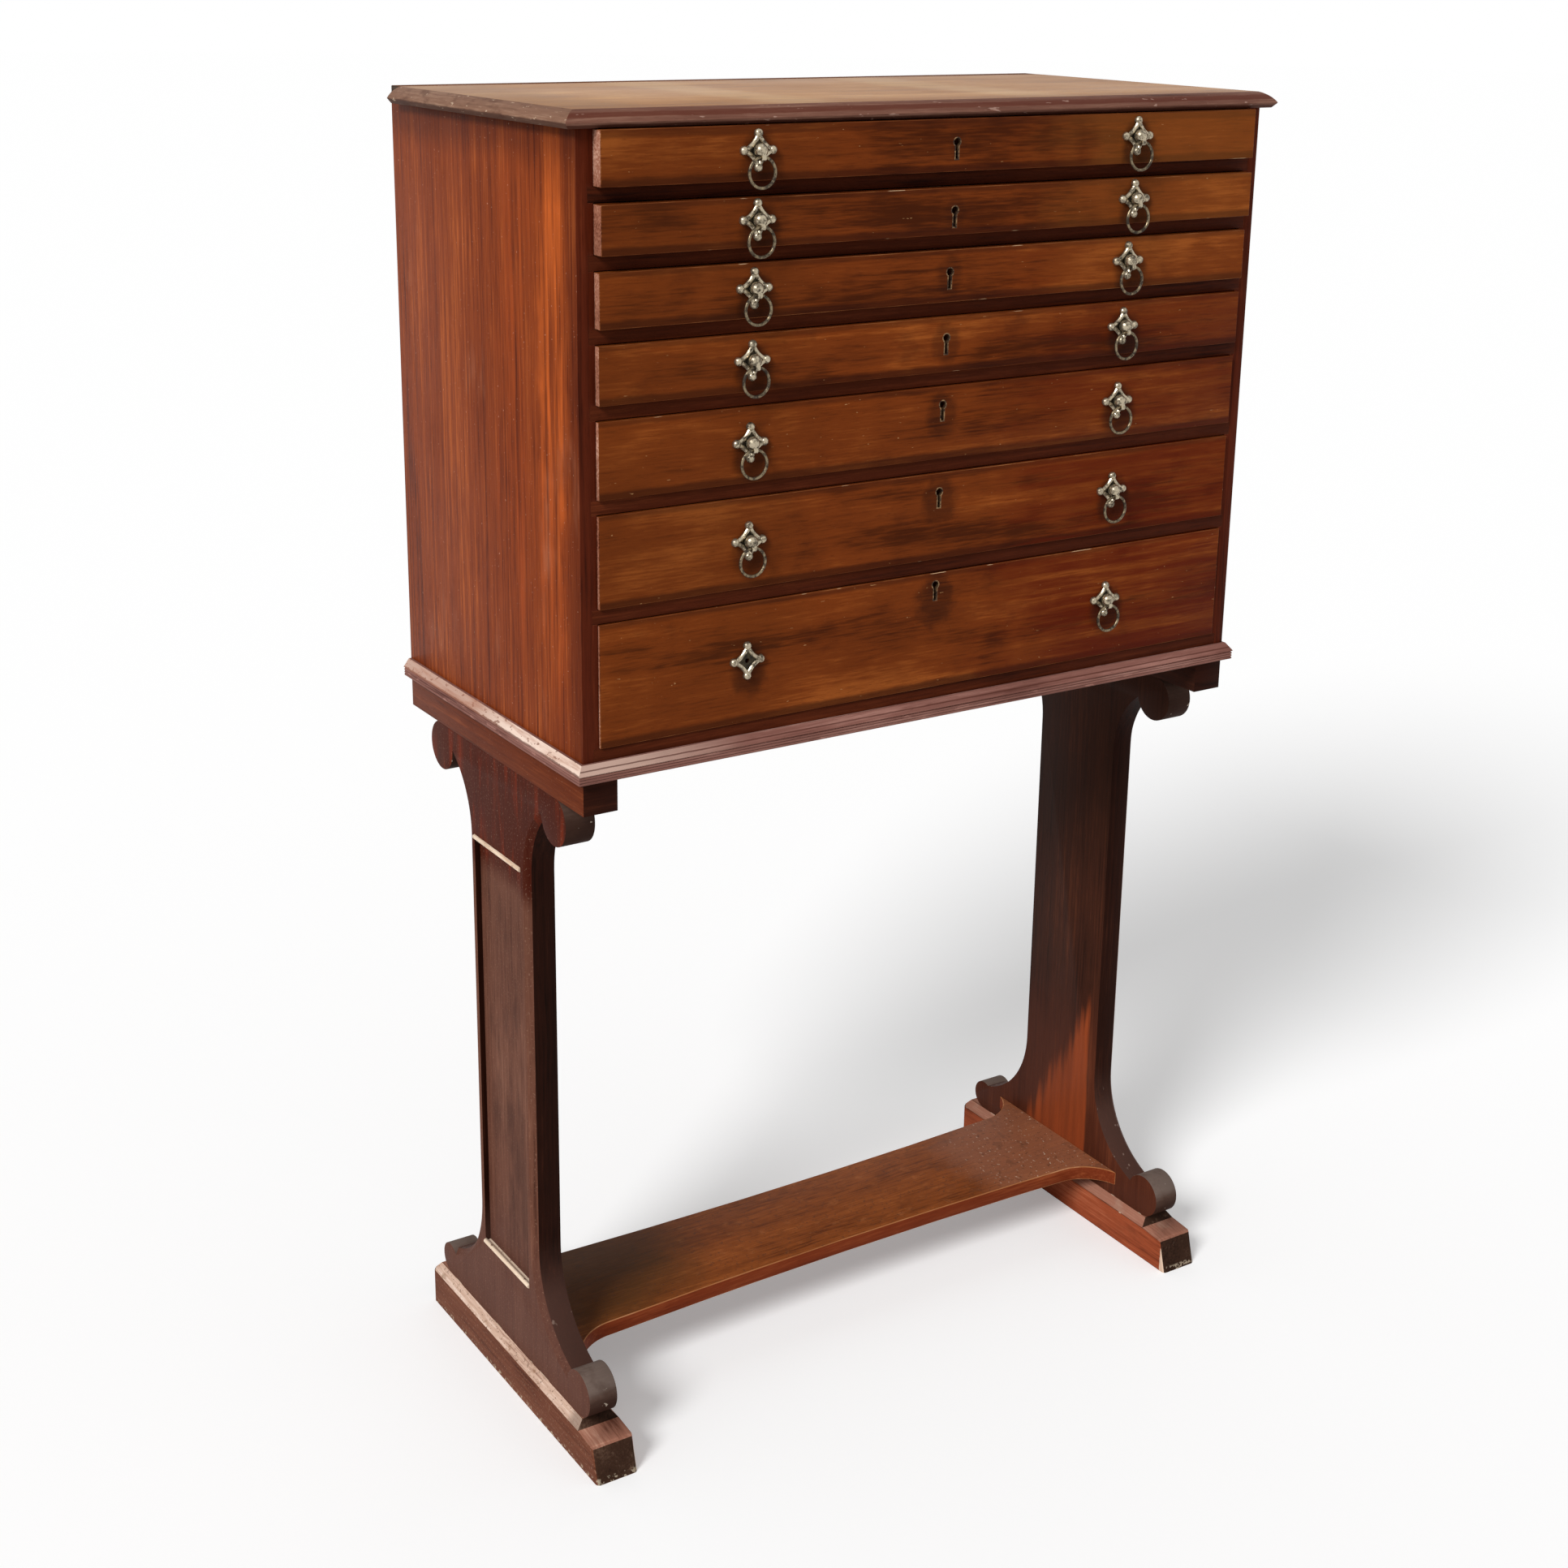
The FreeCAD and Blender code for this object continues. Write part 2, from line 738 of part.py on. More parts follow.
def uprights():
    """The two end panels of the stand, each sunk with a long panel on its outer face."""
    for name, side in SIDES:
        body = plank(f"upright_{name}_plank", "YZ", upright_profile(), size["upright_thickness"])
        low = upright_inner if side > 0 else -upright_outer
        place(body, low, middle, 0)
        doc.recompute()
        board = body.Tip
        outer_face = size["upright_thickness"].value if side > 0 else 0
        edges = waist_edges(board.Shape, outer_face)
        chamfer = body.newObject("PartDesign::Chamfer", f"upright_{name}_arris")
        chamfer.Base = (board, edges)
        bind(chamfer, Size=size["arris_chamfer"])

        panel_low = size["foot_height"] + size["panel_bottom_rise"]
        panel_high = bearer_bottom - size["panel_top_drop"]
        half = size["panel_half_depth"]
        face = upright_outer * side
        sunk = (upright_outer - size["panel_depth"]) * side
        x_low, x_high = sorted((sunk, face), key=lambda x: x.value)
        panel = box(f"panel_{name}", (x_low, middle - half, panel_low),
                    (x_high, middle + half, panel_high))
        beads = [rod(f"panel_bead_{name}_{end}", "Y", (face, middle - half, height),
                     size["panel_bead_radius"], half * 2)
                 for end, height in (("low", panel_low), ("high", panel_high))]
        tenons = [tenon(f"top_tenon_{name}", side, bearer_bottom,
                        bearer_bottom + size["tenon_length"]),
                  tenon(f"foot_tenon_{name}", side,
                        size["foot_height"] - size["tenon_length"], size["foot_height"])]
        sunk_plank = cut(f"upright_{name}_sunk", body, panel)
        whole = fuse(f"upright_{name}_whole", sunk_plank, *scrolls(name, low), *beads, *tenons)
        holes = [screw_hole(f"upright_{name}_{spot}", *place_of, screw_seat(),
                            size["foot_height"])
                 for spot, place_of in enumerate(foot_screw_places(side))]
        node(f"upright_{name}", cut(f"upright_{name}_cut", whole, shelf_tenon(
            f"shelf_mortise_{name}", side, size["mortise_relief"]), *holes))


def foot_profile():
    """Outline of the block of a sledge foot: its toe slopes a little and has a raked end."""
    toe = -size["foot_front_reach"]
    heel = size["foot_back_reach"]
    top = size["foot_block_height"]
    outline = Profile(toe, as_size(0))
    outline.line(heel, as_size(0)).line(heel, top).line(-size["plinth_front_reach"], top)
    outline.line(toe + size["toe_rake"], size["toe_height"]).line(toe, as_size(0))
    return outline


def foot_plinth(name, side):
    """The upper part of a foot, which slopes in on all sides to the face of its upright."""
    front = size["plinth_front_reach"]
    back = size["foot_back_reach"]
    slope = size["foot_ledge"]
    x_low, x_high = sorted((foot_inner * side, foot_outer * side), key=lambda x: x.value)
    top_low, top_high = sorted((upright_inner * side, upright_outer * side),
                               key=lambda x: x.value)
    plinth = doc.addObject("Part::Wedge", f"foot_{name}_plinth")
    turn(plinth, FreeCAD.Vector(1, 0, 0), 90)
    bind(plinth, Xmin=x_low, Xmax=x_high, X2min=top_low, X2max=top_high, Ymin=0,
         Ymax=size["foot_height"] - size["foot_block_height"], Zmin=-back, Zmax=front,
         Z2min=slope - back, Z2max=front - slope)
    place(plinth, 0, middle, size["foot_block_height"])
    return plinth


def feet():
    """The sledge feet, each a little wider than its upright so that a sloping ledge shows."""
    for name, side in SIDES:
        body = plank(f"foot_{name}_block", "YZ", foot_profile(), foot_outer - foot_inner)
        low = foot_inner if side > 0 else -foot_outer
        place(body, low, middle, 0)
        mortise = tenon(f"foot_mortise_{name}", side,
                        size["foot_height"] - size["tenon_length"] - size["mortise_relief"],
                        size["foot_height"])
        holes = []
        for spot, (x, y) in enumerate(foot_screw_places(side)):
            holes.append(screw_hole(f"foot_{name}_{spot}", x, y, screw_seat(),
                                    size["foot_height"]))
            holes.append(rod(f"counterbore_{name}_{spot}", "Z", (x, y, 0),
                             size["screw_head_radius"] + size["screw_gap"], screw_seat()))
        whole = fuse(f"foot_{name}_whole", body, foot_plinth(name, side))
        node(f"foot_{name}", cut(f"foot_{name}_cut", whole, mortise, *holes))


shelf_top = size["foot_height"] + size["shelf_top_rise"]
shelf_bottom = shelf_top - size["shelf_thickness"]


def shelf_tenon(label, side, relief):
    """The stub tenon at one end of the shelf, or with relief the mortise for it."""
    cheek = size["shelf_tenon_cheek"]
    half = size["shelf_side_half_depth"]
    x_low, x_high = sorted((upright_inner * side,
                            (upright_inner + size["shelf_tenon_length"] + relief) * side),
                           key=lambda x: x.value)
    return box(label, (x_low, middle - half, shelf_bottom + cheek),
               (x_high, middle + half, shelf_top - cheek))


def shelf():
    """The shelf between the uprights: hollow along both edges, with a quick flare at each end."""
    end = size["shelf_end_half_depth"]
    neck = size["shelf_side_half_depth"]
    radius = size["shelf_flare_radius"]
    rise = radius - end + neck
    flare = root(radius * radius - rise * rise)
    half = upright_inner
    straight = half - flare
    dip = neck - size["shelf_middle_half_depth"]
    sweep = (straight * straight + dip * dip) / (dip * 2)
    outline = Profile(-half, -end)
    outline.arc((-straight, -neck), radius, -1)
    outline.arc((straight, -neck), sweep, -1)
    outline.arc((half, -end), radius, -1)
    outline.line(half, end)
    outline.arc((straight, neck), radius, -1)
    outline.arc((-straight, neck), sweep, -1)
    outline.arc((-half, end), radius, -1)
    outline.line(-half, -end)
    board = plank("shelf_board", "XY", outline, size["shelf_thickness"])
    place(board, 0, middle, shelf_bottom)
    tenons = [shelf_tenon(f"shelf_tenon_{name}", side, 0) for name, side in SIDES]
    node("shelf", fuse("shelf_whole", board, *tenons))


# Drawers ----------------------------------------------------------------------------------

drawer_half = inner_half - size["drawer_side_gap"]


def drawer_front_face(number):
    """Where the outer face of a drawer front stands."""
    return case_front - size[f"proud_{number}"]


def drawer_low(number):
    """Lower edge of a drawer."""
    return opening_low[number] + size["drawer_running_gap"]


def drawer_high(number):
    """Upper edge of a drawer front."""
    return opening_high[number] - size["drawer_top_gap"]


def pull_places(number):
    """The two pulls of a drawer: name, place across and height."""
    height = (opening_low[number] + opening_high[number]) / 2 + size["pull_above_centre"]
    return [(name, size["pull_offset"] * side, height) for name, side in SIDES]


def keyhole_shape(label, number, depth, wall):
    """A keyhole bar as deep as asked, its outline a wall wider all round."""
    face = drawer_front_face(number)
    centre = drawer_high(number) - size[f"keyhole_drop_{number}"]
    outer = size["keyhole_radius"] + wall
    eye = centre + size["keyhole_height"] / 2 - size["keyhole_radius"] - size["thread_wall"]
    half = size["keyhole_slot_width"] / 2 + wall
    foot = centre - size["keyhole_height"] / 2 + size["thread_wall"] - wall
    barrel = rod(f"{label}_eye", "Y", (0, face, eye), outer, depth)
    slot = box(f"{label}_slot", (-half, face, foot), (half, face + depth, eye))
    return fuse(label, barrel, slot)


def lock_box(label, number):
    """The room for a lock, let into the back of a drawer front from its upper edge."""
    back = drawer_front_face(number) + size["front_thickness"]
    half = size["lock_width"] / 2
    high = drawer_high(number)
    return box(label, (-half, back - size["lock_thickness"], high - size["lock_height"]),
               (half, back, high))


def bolt_box(label, number, gap, low, high):
    """The lock bolt between two heights, or with a gap the channel that it runs in."""
    front = drawer_front_face(number) + size["bolt_setback"]
    half = size["bolt_width"] / 2
    return box(label, (-half - gap, front - gap, low),
               (half + gap, front + size["bolt_thickness"] + gap, high))


def drawer_front(number):
    """A drawer front with its keyhole, the mortise for its lock and the holes for its pulls."""
    face = drawer_front_face(number)
    board = box(f"front_board_{number}", (-drawer_half, face, drawer_low(number)),
                (drawer_half, face + size["front_thickness"], drawer_high(number)))
    keyhole = keyhole_shape(f"keyhole_{number}", number, size["front_thickness"],
                            size["thread_wall"])
    holes = [rod(f"pull_hole_{number}_{name}", "Y", (x, face, z),
                 size["spigot_radius"] + size["spigot_gap"], size["front_thickness"])
             for name, x, z in pull_places(number)]
    node(f"drawer_{number}_front", cut(f"drawer_{number}_front_cut", board, keyhole,
                                       lock_box(f"lock_mortise_{number}", number), *holes))


def drawer_box(number):
    """The sides, back and bottom of a drawer behind its front."""
    front = drawer_front_face(number) + size["front_thickness"]
    back = drawer_front_face(number) + drawer_length
    low = drawer_low(number)
    high = drawer_high(number) - size["drawer_side_drop"]
    inner = drawer_half - size["drawer_board"]
    floor = low + size["drawer_bottom_raise"]
    floor_top = floor + size["drawer_bottom_board"]
    boards = [
        box(f"drawer_side_{number}_left", (-drawer_half, front, low), (-inner, back, high)),
        box(f"drawer_side_{number}_right", (inner, front, low), (drawer_half, back, high)),
        box(f"drawer_bottom_{number}", (-inner, front, floor), (inner, back, floor_top)),
        box(f"drawer_back_{number}", (-inner, back - size["drawer_board"], floor_top),
            (inner, back, high)),
    ]
    node(f"drawer_{number}_box", group(f"drawer_{number}_boards", *boards))


def pull_plate(label, x, face, z):
    """A lozenge plate with hollow sides and a small ball at each corner."""
    reach = size["plate_reach"]
    radius = size["plate_edge_radius"]
    centre = as_size(0)
    outline = Profile(reach, centre)
    for corner in ((centre, reach), (-reach, centre), (centre, -reach), (reach, centre)):
        outline.arc(corner, radius, -1)
    plate = plank(f"{label}_lozenge", "XZ", outline, size["plate_thickness"])
    place(plate, x, face, z)
    spots = ((x + reach, z), (x - reach, z), (x, z + reach), (x, z - reach))
    balls = [ball(f"{label}_ball_{index}", (across, face - size["plate_thickness"] / 2, up),
                  size["corner_ball_radius"]) for index, (across, up) in enumerate(spots)]
    behind = box(f"{label}_behind", (x - reach * 2, face, z - reach * 2),
                 (x + reach * 2, face + reach, z + reach * 2))
    return cut(f"{label}_plate", fuse(f"{label}_cast", plate, *balls), behind)


def ring_pivot(number, z):
    """Depth and height of the eye that a ring hangs in."""
    reach = size["plate_thickness"] + size["eye_reach"]
    return drawer_front_face(number) - reach, z - size["eye_drop"]


def pull_fittings(number, name, x, z):
    """A pull plate with its ball boss and the eye under it, and the spigot and nut behind."""
    face = drawer_front_face(number)
    label = f"pull_{number}_{name}"
    boss_radius = size["boss_radius"]
    boss = ball(f"{label}_boss", (x, face - size["plate_thickness"] - size["boss_reach"], z),
                boss_radius)
    pivot = ring_pivot(number, z)
    eye = rod(f"{label}_eye", "X", (x - size["eye_width"] / 2, *pivot), size["eye_radius"],
              size["eye_width"])
    hole = rod(f"{label}_eye_hole", "X", (x - boss_radius, *pivot), size["eye_hole_radius"],
               boss_radius * 2)
    behind = box(f"{label}_boss_back", (x - boss_radius, face, z - boss_radius),
                 (x + boss_radius, face + boss_radius, z + boss_radius))
    cast = fuse(f"{label}_front", pull_plate(label, x, face, z), boss, eye)
    spigot = rod(f"{label}_spigot", "Y", (x, face, z), size["spigot_radius"],
                 size["front_thickness"] + size["nut_thickness"])
    pull = fuse(f"{label}_pull", cut(f"{label}_cut", cast, hole, behind), spigot)
    nut = rod(f"{label}_nut_blank", "Y", (x, face + size["front_thickness"], z),
              size["nut_radius"], size["nut_thickness"])
    bore = rod(f"{label}_nut_bore", "Y", (x, face + size["front_thickness"], z),
               size["spigot_radius"] + size["spigot_gap"] / 2, size["nut_thickness"])
    return [pull, cut(f"{label}_nut", nut, bore)]


def bare_plate(number, name, x, z):
    """A pull plate that has lost its boss and ring, with the open hole of the spigot."""
    face = drawer_front_face(number)
    label = f"pull_{number}_{name}"
    hole = rod(f"{label}_hole", "Y", (x, face - size["plate_thickness"] * 2, z),
               size["spigot_radius"], size["plate_thickness"] * 3)
    return [cut(f"{label}_cut", pull_plate(label, x, face, z), hole)]


def ring(number, name, x, z):
    """A ring that hangs in the eye of its boss."""
    hoop = doc.addObject("Part::Torus", f"hoop_{number}_{name}")
    turn(hoop, FreeCAD.Vector(1, 0, 0), 90)
    bind(hoop, Radius1=size["ring_radius"], Radius2=size["ring_wire_radius"])
    pivot_y, pivot_z = ring_pivot(number, z)
    place(hoop, x, pivot_y, pivot_z + size["ring_lift"] - size["ring_radius"])
    node(f"ring_{number}_{name}", hoop)


def drawer_lock(number):
    """The lock case with its bolt channel, and the bolt, drawn back to the upper edge."""
    high = drawer_high(number)
    low = high - size["bolt_length"]
    channel = bolt_box(f"bolt_channel_{number}", number, size["bolt_gap"], low, high)
    case = cut(f"lock_case_{number}", lock_box(f"lock_blank_{number}", number), channel)
    node(f"drawer_{number}_lock_bolt", bolt_box(f"bolt_{number}", number, 0, low, high))
    return case


def thread_escutcheon(number):
    """The brass thread that lines a keyhole."""
    depth = size["thread_depth"]
    outer = keyhole_shape(f"thread_outer_{number}", number, depth, size["thread_wall"])
    inner = keyhole_shape(f"thread_inner_{number}", number, depth, 0)
    return cut(f"thread_{number}", outer, inner)


def drawers():
    """All seven drawers, from the top."""
    for number in DRAWERS:
        drawer_front(number)
        drawer_box(number)
        fittings = [thread_escutcheon(number), drawer_lock(number)]
        for name, x, z in pull_places(number):
            if (number, name) == (DRAWERS[-1], "left"):
                fittings += bare_plate(number, name, x, z)
                continue
            fittings += pull_fittings(number, name, x, z)
            ring(number, name, x, z)
        node(f"drawer_{number}_fittings", group(f"drawer_{number}_brass", *fittings))


# Build and write --------------------------------------------------------------------------

top_board()
case_sides()
case_back_board()
case_bottom_board()
divider_rails()
runners_and_stops()
base_moulding()
bearers()
uprights()
feet()
shelf()
stand_screws()
drawers()
doc.recompute()

for thing in doc.Objects:
    if "Invalid" in thing.State or "Error" in thing.State:
        raise RuntimeError(f"{thing.Label} failed: {thing.State}")
    if thing.TypeId == "Part::Cut" and thing.Shape.Volume >= thing.Base.Shape.Volume:
        raise RuntimeError(f"{thing.Label} takes nothing away")

os.makedirs("parts", exist_ok=True)
for thing in nodes:
    if thing.Shape.isNull() or not thing.Shape.isValid() or not thing.Shape.Solids:
        raise RuntimeError(f"{thing.Label} has no valid solid")
    thing.Shape.exportStep(f"parts/{thing.Label}.step")
    print(thing.Label, len(thing.Shape.Solids), round(thing.Shape.Volume / 1000, 2), "cm3")
print(len(nodes), "nodes")
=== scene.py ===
"""Finish of the specimen cabinet on its trestle stand: mahogany, brass and the studio round it."""
import json
import math

import bmesh
import bpy
from mathutils import Matrix, Vector

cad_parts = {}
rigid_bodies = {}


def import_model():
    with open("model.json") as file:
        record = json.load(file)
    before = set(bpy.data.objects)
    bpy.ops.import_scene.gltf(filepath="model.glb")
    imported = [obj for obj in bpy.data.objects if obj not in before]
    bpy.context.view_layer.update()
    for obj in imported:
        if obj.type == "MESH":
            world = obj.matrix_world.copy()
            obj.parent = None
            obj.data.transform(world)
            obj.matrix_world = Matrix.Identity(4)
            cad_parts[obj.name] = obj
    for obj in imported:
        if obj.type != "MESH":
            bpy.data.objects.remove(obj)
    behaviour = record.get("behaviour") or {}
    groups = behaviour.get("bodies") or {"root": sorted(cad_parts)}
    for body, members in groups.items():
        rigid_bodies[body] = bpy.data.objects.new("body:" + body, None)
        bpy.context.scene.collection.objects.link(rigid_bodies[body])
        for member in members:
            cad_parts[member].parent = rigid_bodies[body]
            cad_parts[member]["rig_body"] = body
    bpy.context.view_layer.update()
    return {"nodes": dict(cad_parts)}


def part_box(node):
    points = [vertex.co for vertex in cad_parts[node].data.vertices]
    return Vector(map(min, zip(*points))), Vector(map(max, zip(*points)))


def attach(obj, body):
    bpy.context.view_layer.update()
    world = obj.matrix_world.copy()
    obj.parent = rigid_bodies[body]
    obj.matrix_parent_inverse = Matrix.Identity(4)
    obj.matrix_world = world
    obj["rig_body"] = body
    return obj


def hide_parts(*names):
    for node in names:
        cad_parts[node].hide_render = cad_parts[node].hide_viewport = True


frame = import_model()

MM = 0.001
DRAWERS = range(1, 8)
SIDES = (("left", -1), ("right", 1))
GRAIN_AXES = {"X": "XYZ", "Y": "YXZ", "Z": "ZXY"}


def srgb(red, green, blue):
    """A colour given as a painter's 0 to 255 values, in the linear form that shaders use."""
    channels = []
    for value in (red, green, blue):
        value = value / 255
        channels.append(value / 12.92 if value <= 0.04045 else ((value + 0.055) / 1.055) ** 2.4)
    return (*channels, 1.0)


# Shader language ---------------------------------------------------------------------------


class Wire:
    """An output of a shader node, used in sums as a number is."""

    def __init__(self, finish, socket):
        self.finish = finish
        self.socket = socket

    def math(self, operation, *others):
        return self.finish.add("ShaderNodeMath", {"operation": operation}, (self, *others))

    def __add__(self, other):
        return self.math("ADD", other)

    def __sub__(self, other):
        return self.math("SUBTRACT", other)

    def __rsub__(self, other):
        return self.finish.add("ShaderNodeMath", {"operation": "SUBTRACT"}, (other, self))

    def __mul__(self, other):
        return self.math("MULTIPLY", other)

    def __truediv__(self, other):
        return self.math("DIVIDE", other)

    __radd__ = __add__

    def clamped(self):
        """The value held between 0 and 1."""
        return self.finish.add("ShaderNodeClamp", {}, (self, 0.0, 1.0))

    def between(self, low, high):
        """0 below the low value, 1 above the high one and smooth between them."""
        return self.finish.add("ShaderNodeMapRange", {"interpolation_type": "SMOOTHSTEP"},
                               (self, low, high, 0.0, 1.0))


class Finish:
    """A material and the nodes that make it."""

    def __init__(self, name):
        self.material = bpy.data.materials.new(name)
        self.material.use_nodes = True
        self.tree = self.material.node_tree
        self.tree.nodes.clear()
        self.shader = self.tree.nodes.new("ShaderNodeBsdfPrincipled")
        self.output = self.tree.nodes.new("ShaderNodeOutputMaterial")
        self.tree.links.new(self.shader.outputs[0], self.output.inputs[0])

    def add(self, kind, settings=None, sockets=(), output=0):
        """One node: its settings first, then the values or wires of its sockets."""
        new = self.tree.nodes.new(kind)
        for setting, value in (settings or {}).items():
            setattr(new, setting, value)
        pairs = sockets.items() if isinstance(sockets, dict) else enumerate(sockets)
        for key, value in pairs:
            self.feed(new.inputs[key], value)
        return Wire(self, new.outputs[output])

    def feed(self, socket, value):
        """Gives a socket its value, or links a wire to it."""
        if isinstance(value, Wire):
            self.tree.links.new(value.socket, socket)
        else:
            socket.default_value = value

    def set(self, **values):
        """Sets sockets of the surface shader; an underscore stands for a space."""
        for name, value in values.items():
            self.feed(self.shader.inputs[name.replace("_", " ")], value)

    def place(self, shift=(0, 0, 0)):
        """The place on the piece, shifted so that no two boards share a pattern."""
        coordinates = self.add("ShaderNodeTexCoord", output="Object")
        return self.add("ShaderNodeVectorMath", {"operation": "ADD"}, (coordinates, shift))

    def parts(self, vector):
        """The three numbers of a vector."""
        split = self.add("ShaderNodeSeparateXYZ", {}, (vector,))
        outputs = split.socket.node.outputs
        return tuple(Wire(self, outputs[index]) for index in range(3))

    def vector(self, x, y, z):
        return self.add("ShaderNodeCombineXYZ", {}, (x, y, z))

    def noise(self, vector, scale, detail=2.0, roughness=0.5, distortion=0.0):
        """Cloudy noise from 0 to 1."""
        return self.add("ShaderNodeTexNoise", {}, {
            "Vector": vector, "Scale": scale, "Detail": detail, "Roughness": roughness,
            "Distortion": distortion})

    def mix(self, factor, first, second):
        """From the first colour to the second."""
        return self.add("ShaderNodeMix", {"data_type": "RGBA"},
                        {0: factor, 6: first, 7: second}, output=2)

    def bump(self, height, strength, distance):
        return self.add("ShaderNodeBump", {}, {
            "Height": height, "Strength": strength, "Distance": distance})


# Marks: functions that give how far a colour covers a place, from 0 to 1 -------------------


def patch(middle, reach, strength=1.0, ragged=0.9, scale=70.0, soft=0.8):
    """A patch round a place, with a ragged rim, for stains and for painted shadows. A reach of
    None runs on along that axis.
    """
    def mask(finish, place):
        spread = 0.0
        for wire, centre, half in zip(place, middle, reach):
            if half is not None:
                step = (wire - centre) / half
                spread = step * step + spread
        cloud = finish.noise(finish.vector(*place), scale, 3.0)
        return (1.0 - spread + (cloud - 0.5) * ragged).between(0.0, soft) * strength
    return mask


def sunlit_slant(foot, reach, strength=1.0, ragged=0.5):
    """A patch that fills the corner under a slanting line, streaked up and down: a painted pool of
    sunlight.
    """
    def mask(finish, place):
        streaked = finish.noise(finish.vector(place[0], place[1] * 110, place[2] * 9), 1.0, 3.0)
        filled = 1.0 - (place[1] - foot[0]) / reach[0] - (place[2] - foot[1]) / reach[1]
        filled = (filled + (streaked - 0.5) * ragged).between(0.0, 0.22)
        behind = (place[1] + (streaked - 0.5) * 0.02 - foot[0]).between(-0.003, 0.003)
        above = place[2].between(foot[1] - 0.01, foot[1])
        faint = (streaked - 0.5) * 1.4 + 0.85
        return (filled * behind * above * faint * strength).clamped()
    return mask


def strip(axis, low, high, soft, strength=1.0, ragged=0.0, scale=60.0):
    """A band between two heights on one axis, with soft and perhaps ragged sides."""
    def mask(finish, place):
        wire = place["XYZ".index(axis)]
        if ragged:
            cloud = finish.noise(finish.vector(*place), scale, 4.0, 0.6)
            wire = wire + (cloud - 0.5) * ragged
        return wire.between(low - soft, low) * (1.0 - wire.between(high, high + soft)) * strength
    return mask


def clouds(scale, low, high, strength=1.0, stretch=(1, 1, 1), where=None, detail=4.0):
    """Soft uneven cover, all over or only where another mark lies."""
    def mask(finish, place):
        cloud = finish.noise(finish.vector(*(wire * by for wire, by in zip(place, stretch))),
                             scale, detail, 0.6)
        cover = cloud.between(low, high) * strength
        return cover * where(finish, place) if where else cover
    return mask


def specks(scale, rare, strength=1.0, stretch=(1, 1, 1), where=None):
    """Small chips and spots; rare is from 0.5, crowded, to 0.8, a few."""
    return clouds(scale, rare, rare + 0.04, strength, stretch, where, detail=2.0)


# Wood --------------------------------------------------------------------------------------


def timber(name, axis, tones, shift=(0, 0, 0), bands=0.5, streaks=1.0, fleck=0.5, flow=0.0,
           gloss=0.42, shine=0.025, uneven=0.75, grime=0.3, relief=0.25, marks=()):
    """Old polished wood. The tones are dark, middle and light.

    Bands are the broad stripes of the board, streaks the fine ones, fleck the short pale dashes
    and flow the slow slanting figure of a cut through a curved trunk. Marks are pairs of a
    colour and its mask, laid over the wood in turn.
    """
    finish = Finish(name)
    dark, middle, light = (srgb(*tone) for tone in tones)
    place = finish.parts(finish.place(shift))
    along, across, through = (place["XYZ".index(letter)] for letter in GRAIN_AXES[axis])
    drift = finish.noise(finish.vector(along * 2.2, across * 3, through * 3), 1.0, 2.0)
    wave = (drift - 0.5) * 0.02
    broad = finish.noise(finish.vector(along * 0.9, (across + wave) * 26, through * 26), 1.0, 3.0)
    fine = finish.noise(finish.vector(along * 5, (across + wave) * 300, through * 300),
                        1.0, 3.0, 0.65)
    dash = finish.noise(finish.vector(along * 42, (across + wave) * 560, through * 560),
                        1.0, 2.0, 0.55)
    pores = finish.noise(finish.vector(along * 110, (across + wave) * 1900, through * 1900),
                         1.0, 2.0, 0.6)
    cloud = finish.noise(finish.vector(along * 7, across * 16, through * 16), 1.0, 3.0, 0.55)
    tone = (broad - 0.5) * (1.7 * bands) + (fine - 0.5) * (0.9 * streaks)
    tone = tone + (dash - 0.5) * (0.9 * fleck) + (cloud - 0.5) * uneven + 0.5
    if flow:
        slant = finish.noise(finish.vector(along * 3.4 - across * 5, across * 22 + along * 1.5,
                                           through * 22), 1.0, 3.0, 0.55, 0.4)
        sheen = finish.noise(finish.vector(along * 30 + across * 8, across * 14, through * 14),
                             1.0, 1.0, 0.4)
        tone = tone + (slant - 0.5) * (1.7 * flow) + (sheen - 0.5) * (0.35 * flow)
    colour = finish.mix(tone.between(0.10, 0.52), dark, middle)
    colour = finish.mix(tone.between(0.50, 0.95), colour, light)
    pits = pores.between(0.58, 0.74)
    colour = finish.mix(pits * 0.45, colour, dark)
    soil = finish.noise(finish.vector(along * 5, across * 7, through * 7), 1.0, 4.0, 0.6)
    colour = finish.mix(soil.between(0.46, 0.78) * grime, colour, dark)
    here = finish.parts(finish.place())
    for mark_colour, mask in marks:
        colour = finish.mix(mask(finish, here), colour, srgb(*mark_colour))
    roughness = gloss + (fine - 0.5) * 0.12 + (soil - 0.5) * 0.2 + pits * 0.08
    finish.set(Base_Color=colour, Roughness=roughness.clamped(), Specular_IOR_Level=shine,
               Normal=finish.bump(fine * 0.5 - pits * 0.6, relief, 0.0006))
    return finish.material


# Tones of the cabinet's woods: dark, middle, light.
SIDE_TONES = ((82, 30, 11), (126, 55, 22), (166, 84, 38))
FRONT_TONES = ((70, 29, 9), (118, 54, 18), (158, 84, 34))
RAIL_TONES = ((38, 14, 7), (74, 30, 14), (100, 46, 24))
CASE_EDGE_TONES = ((56, 20, 10), (84, 32, 16), (110, 48, 26))
TOP_TONES = ((134, 88, 48), (174, 121, 68), (208, 158, 100))
TOP_EDGE_TONES = ((72, 43, 35), (114, 76, 63), (152, 112, 94))
TOP_END_TONES = ((84, 60, 46), (128, 94, 76), (166, 134, 112))
REED_TONES = ((84, 50, 44), (134, 92, 82), (176, 134, 122))
# The cream of the base moulding's side slopes is a painted highlight.
BASE_SLOPE_HIGHLIGHT_TONES = ((196, 158, 138), (232, 208, 192), (244, 226, 212))
# The bearers' sides are darkened as painted shade under the base moulding.
SHADED_BEARER_TONES = ((62, 24, 11), (98, 44, 22), (130, 66, 36))
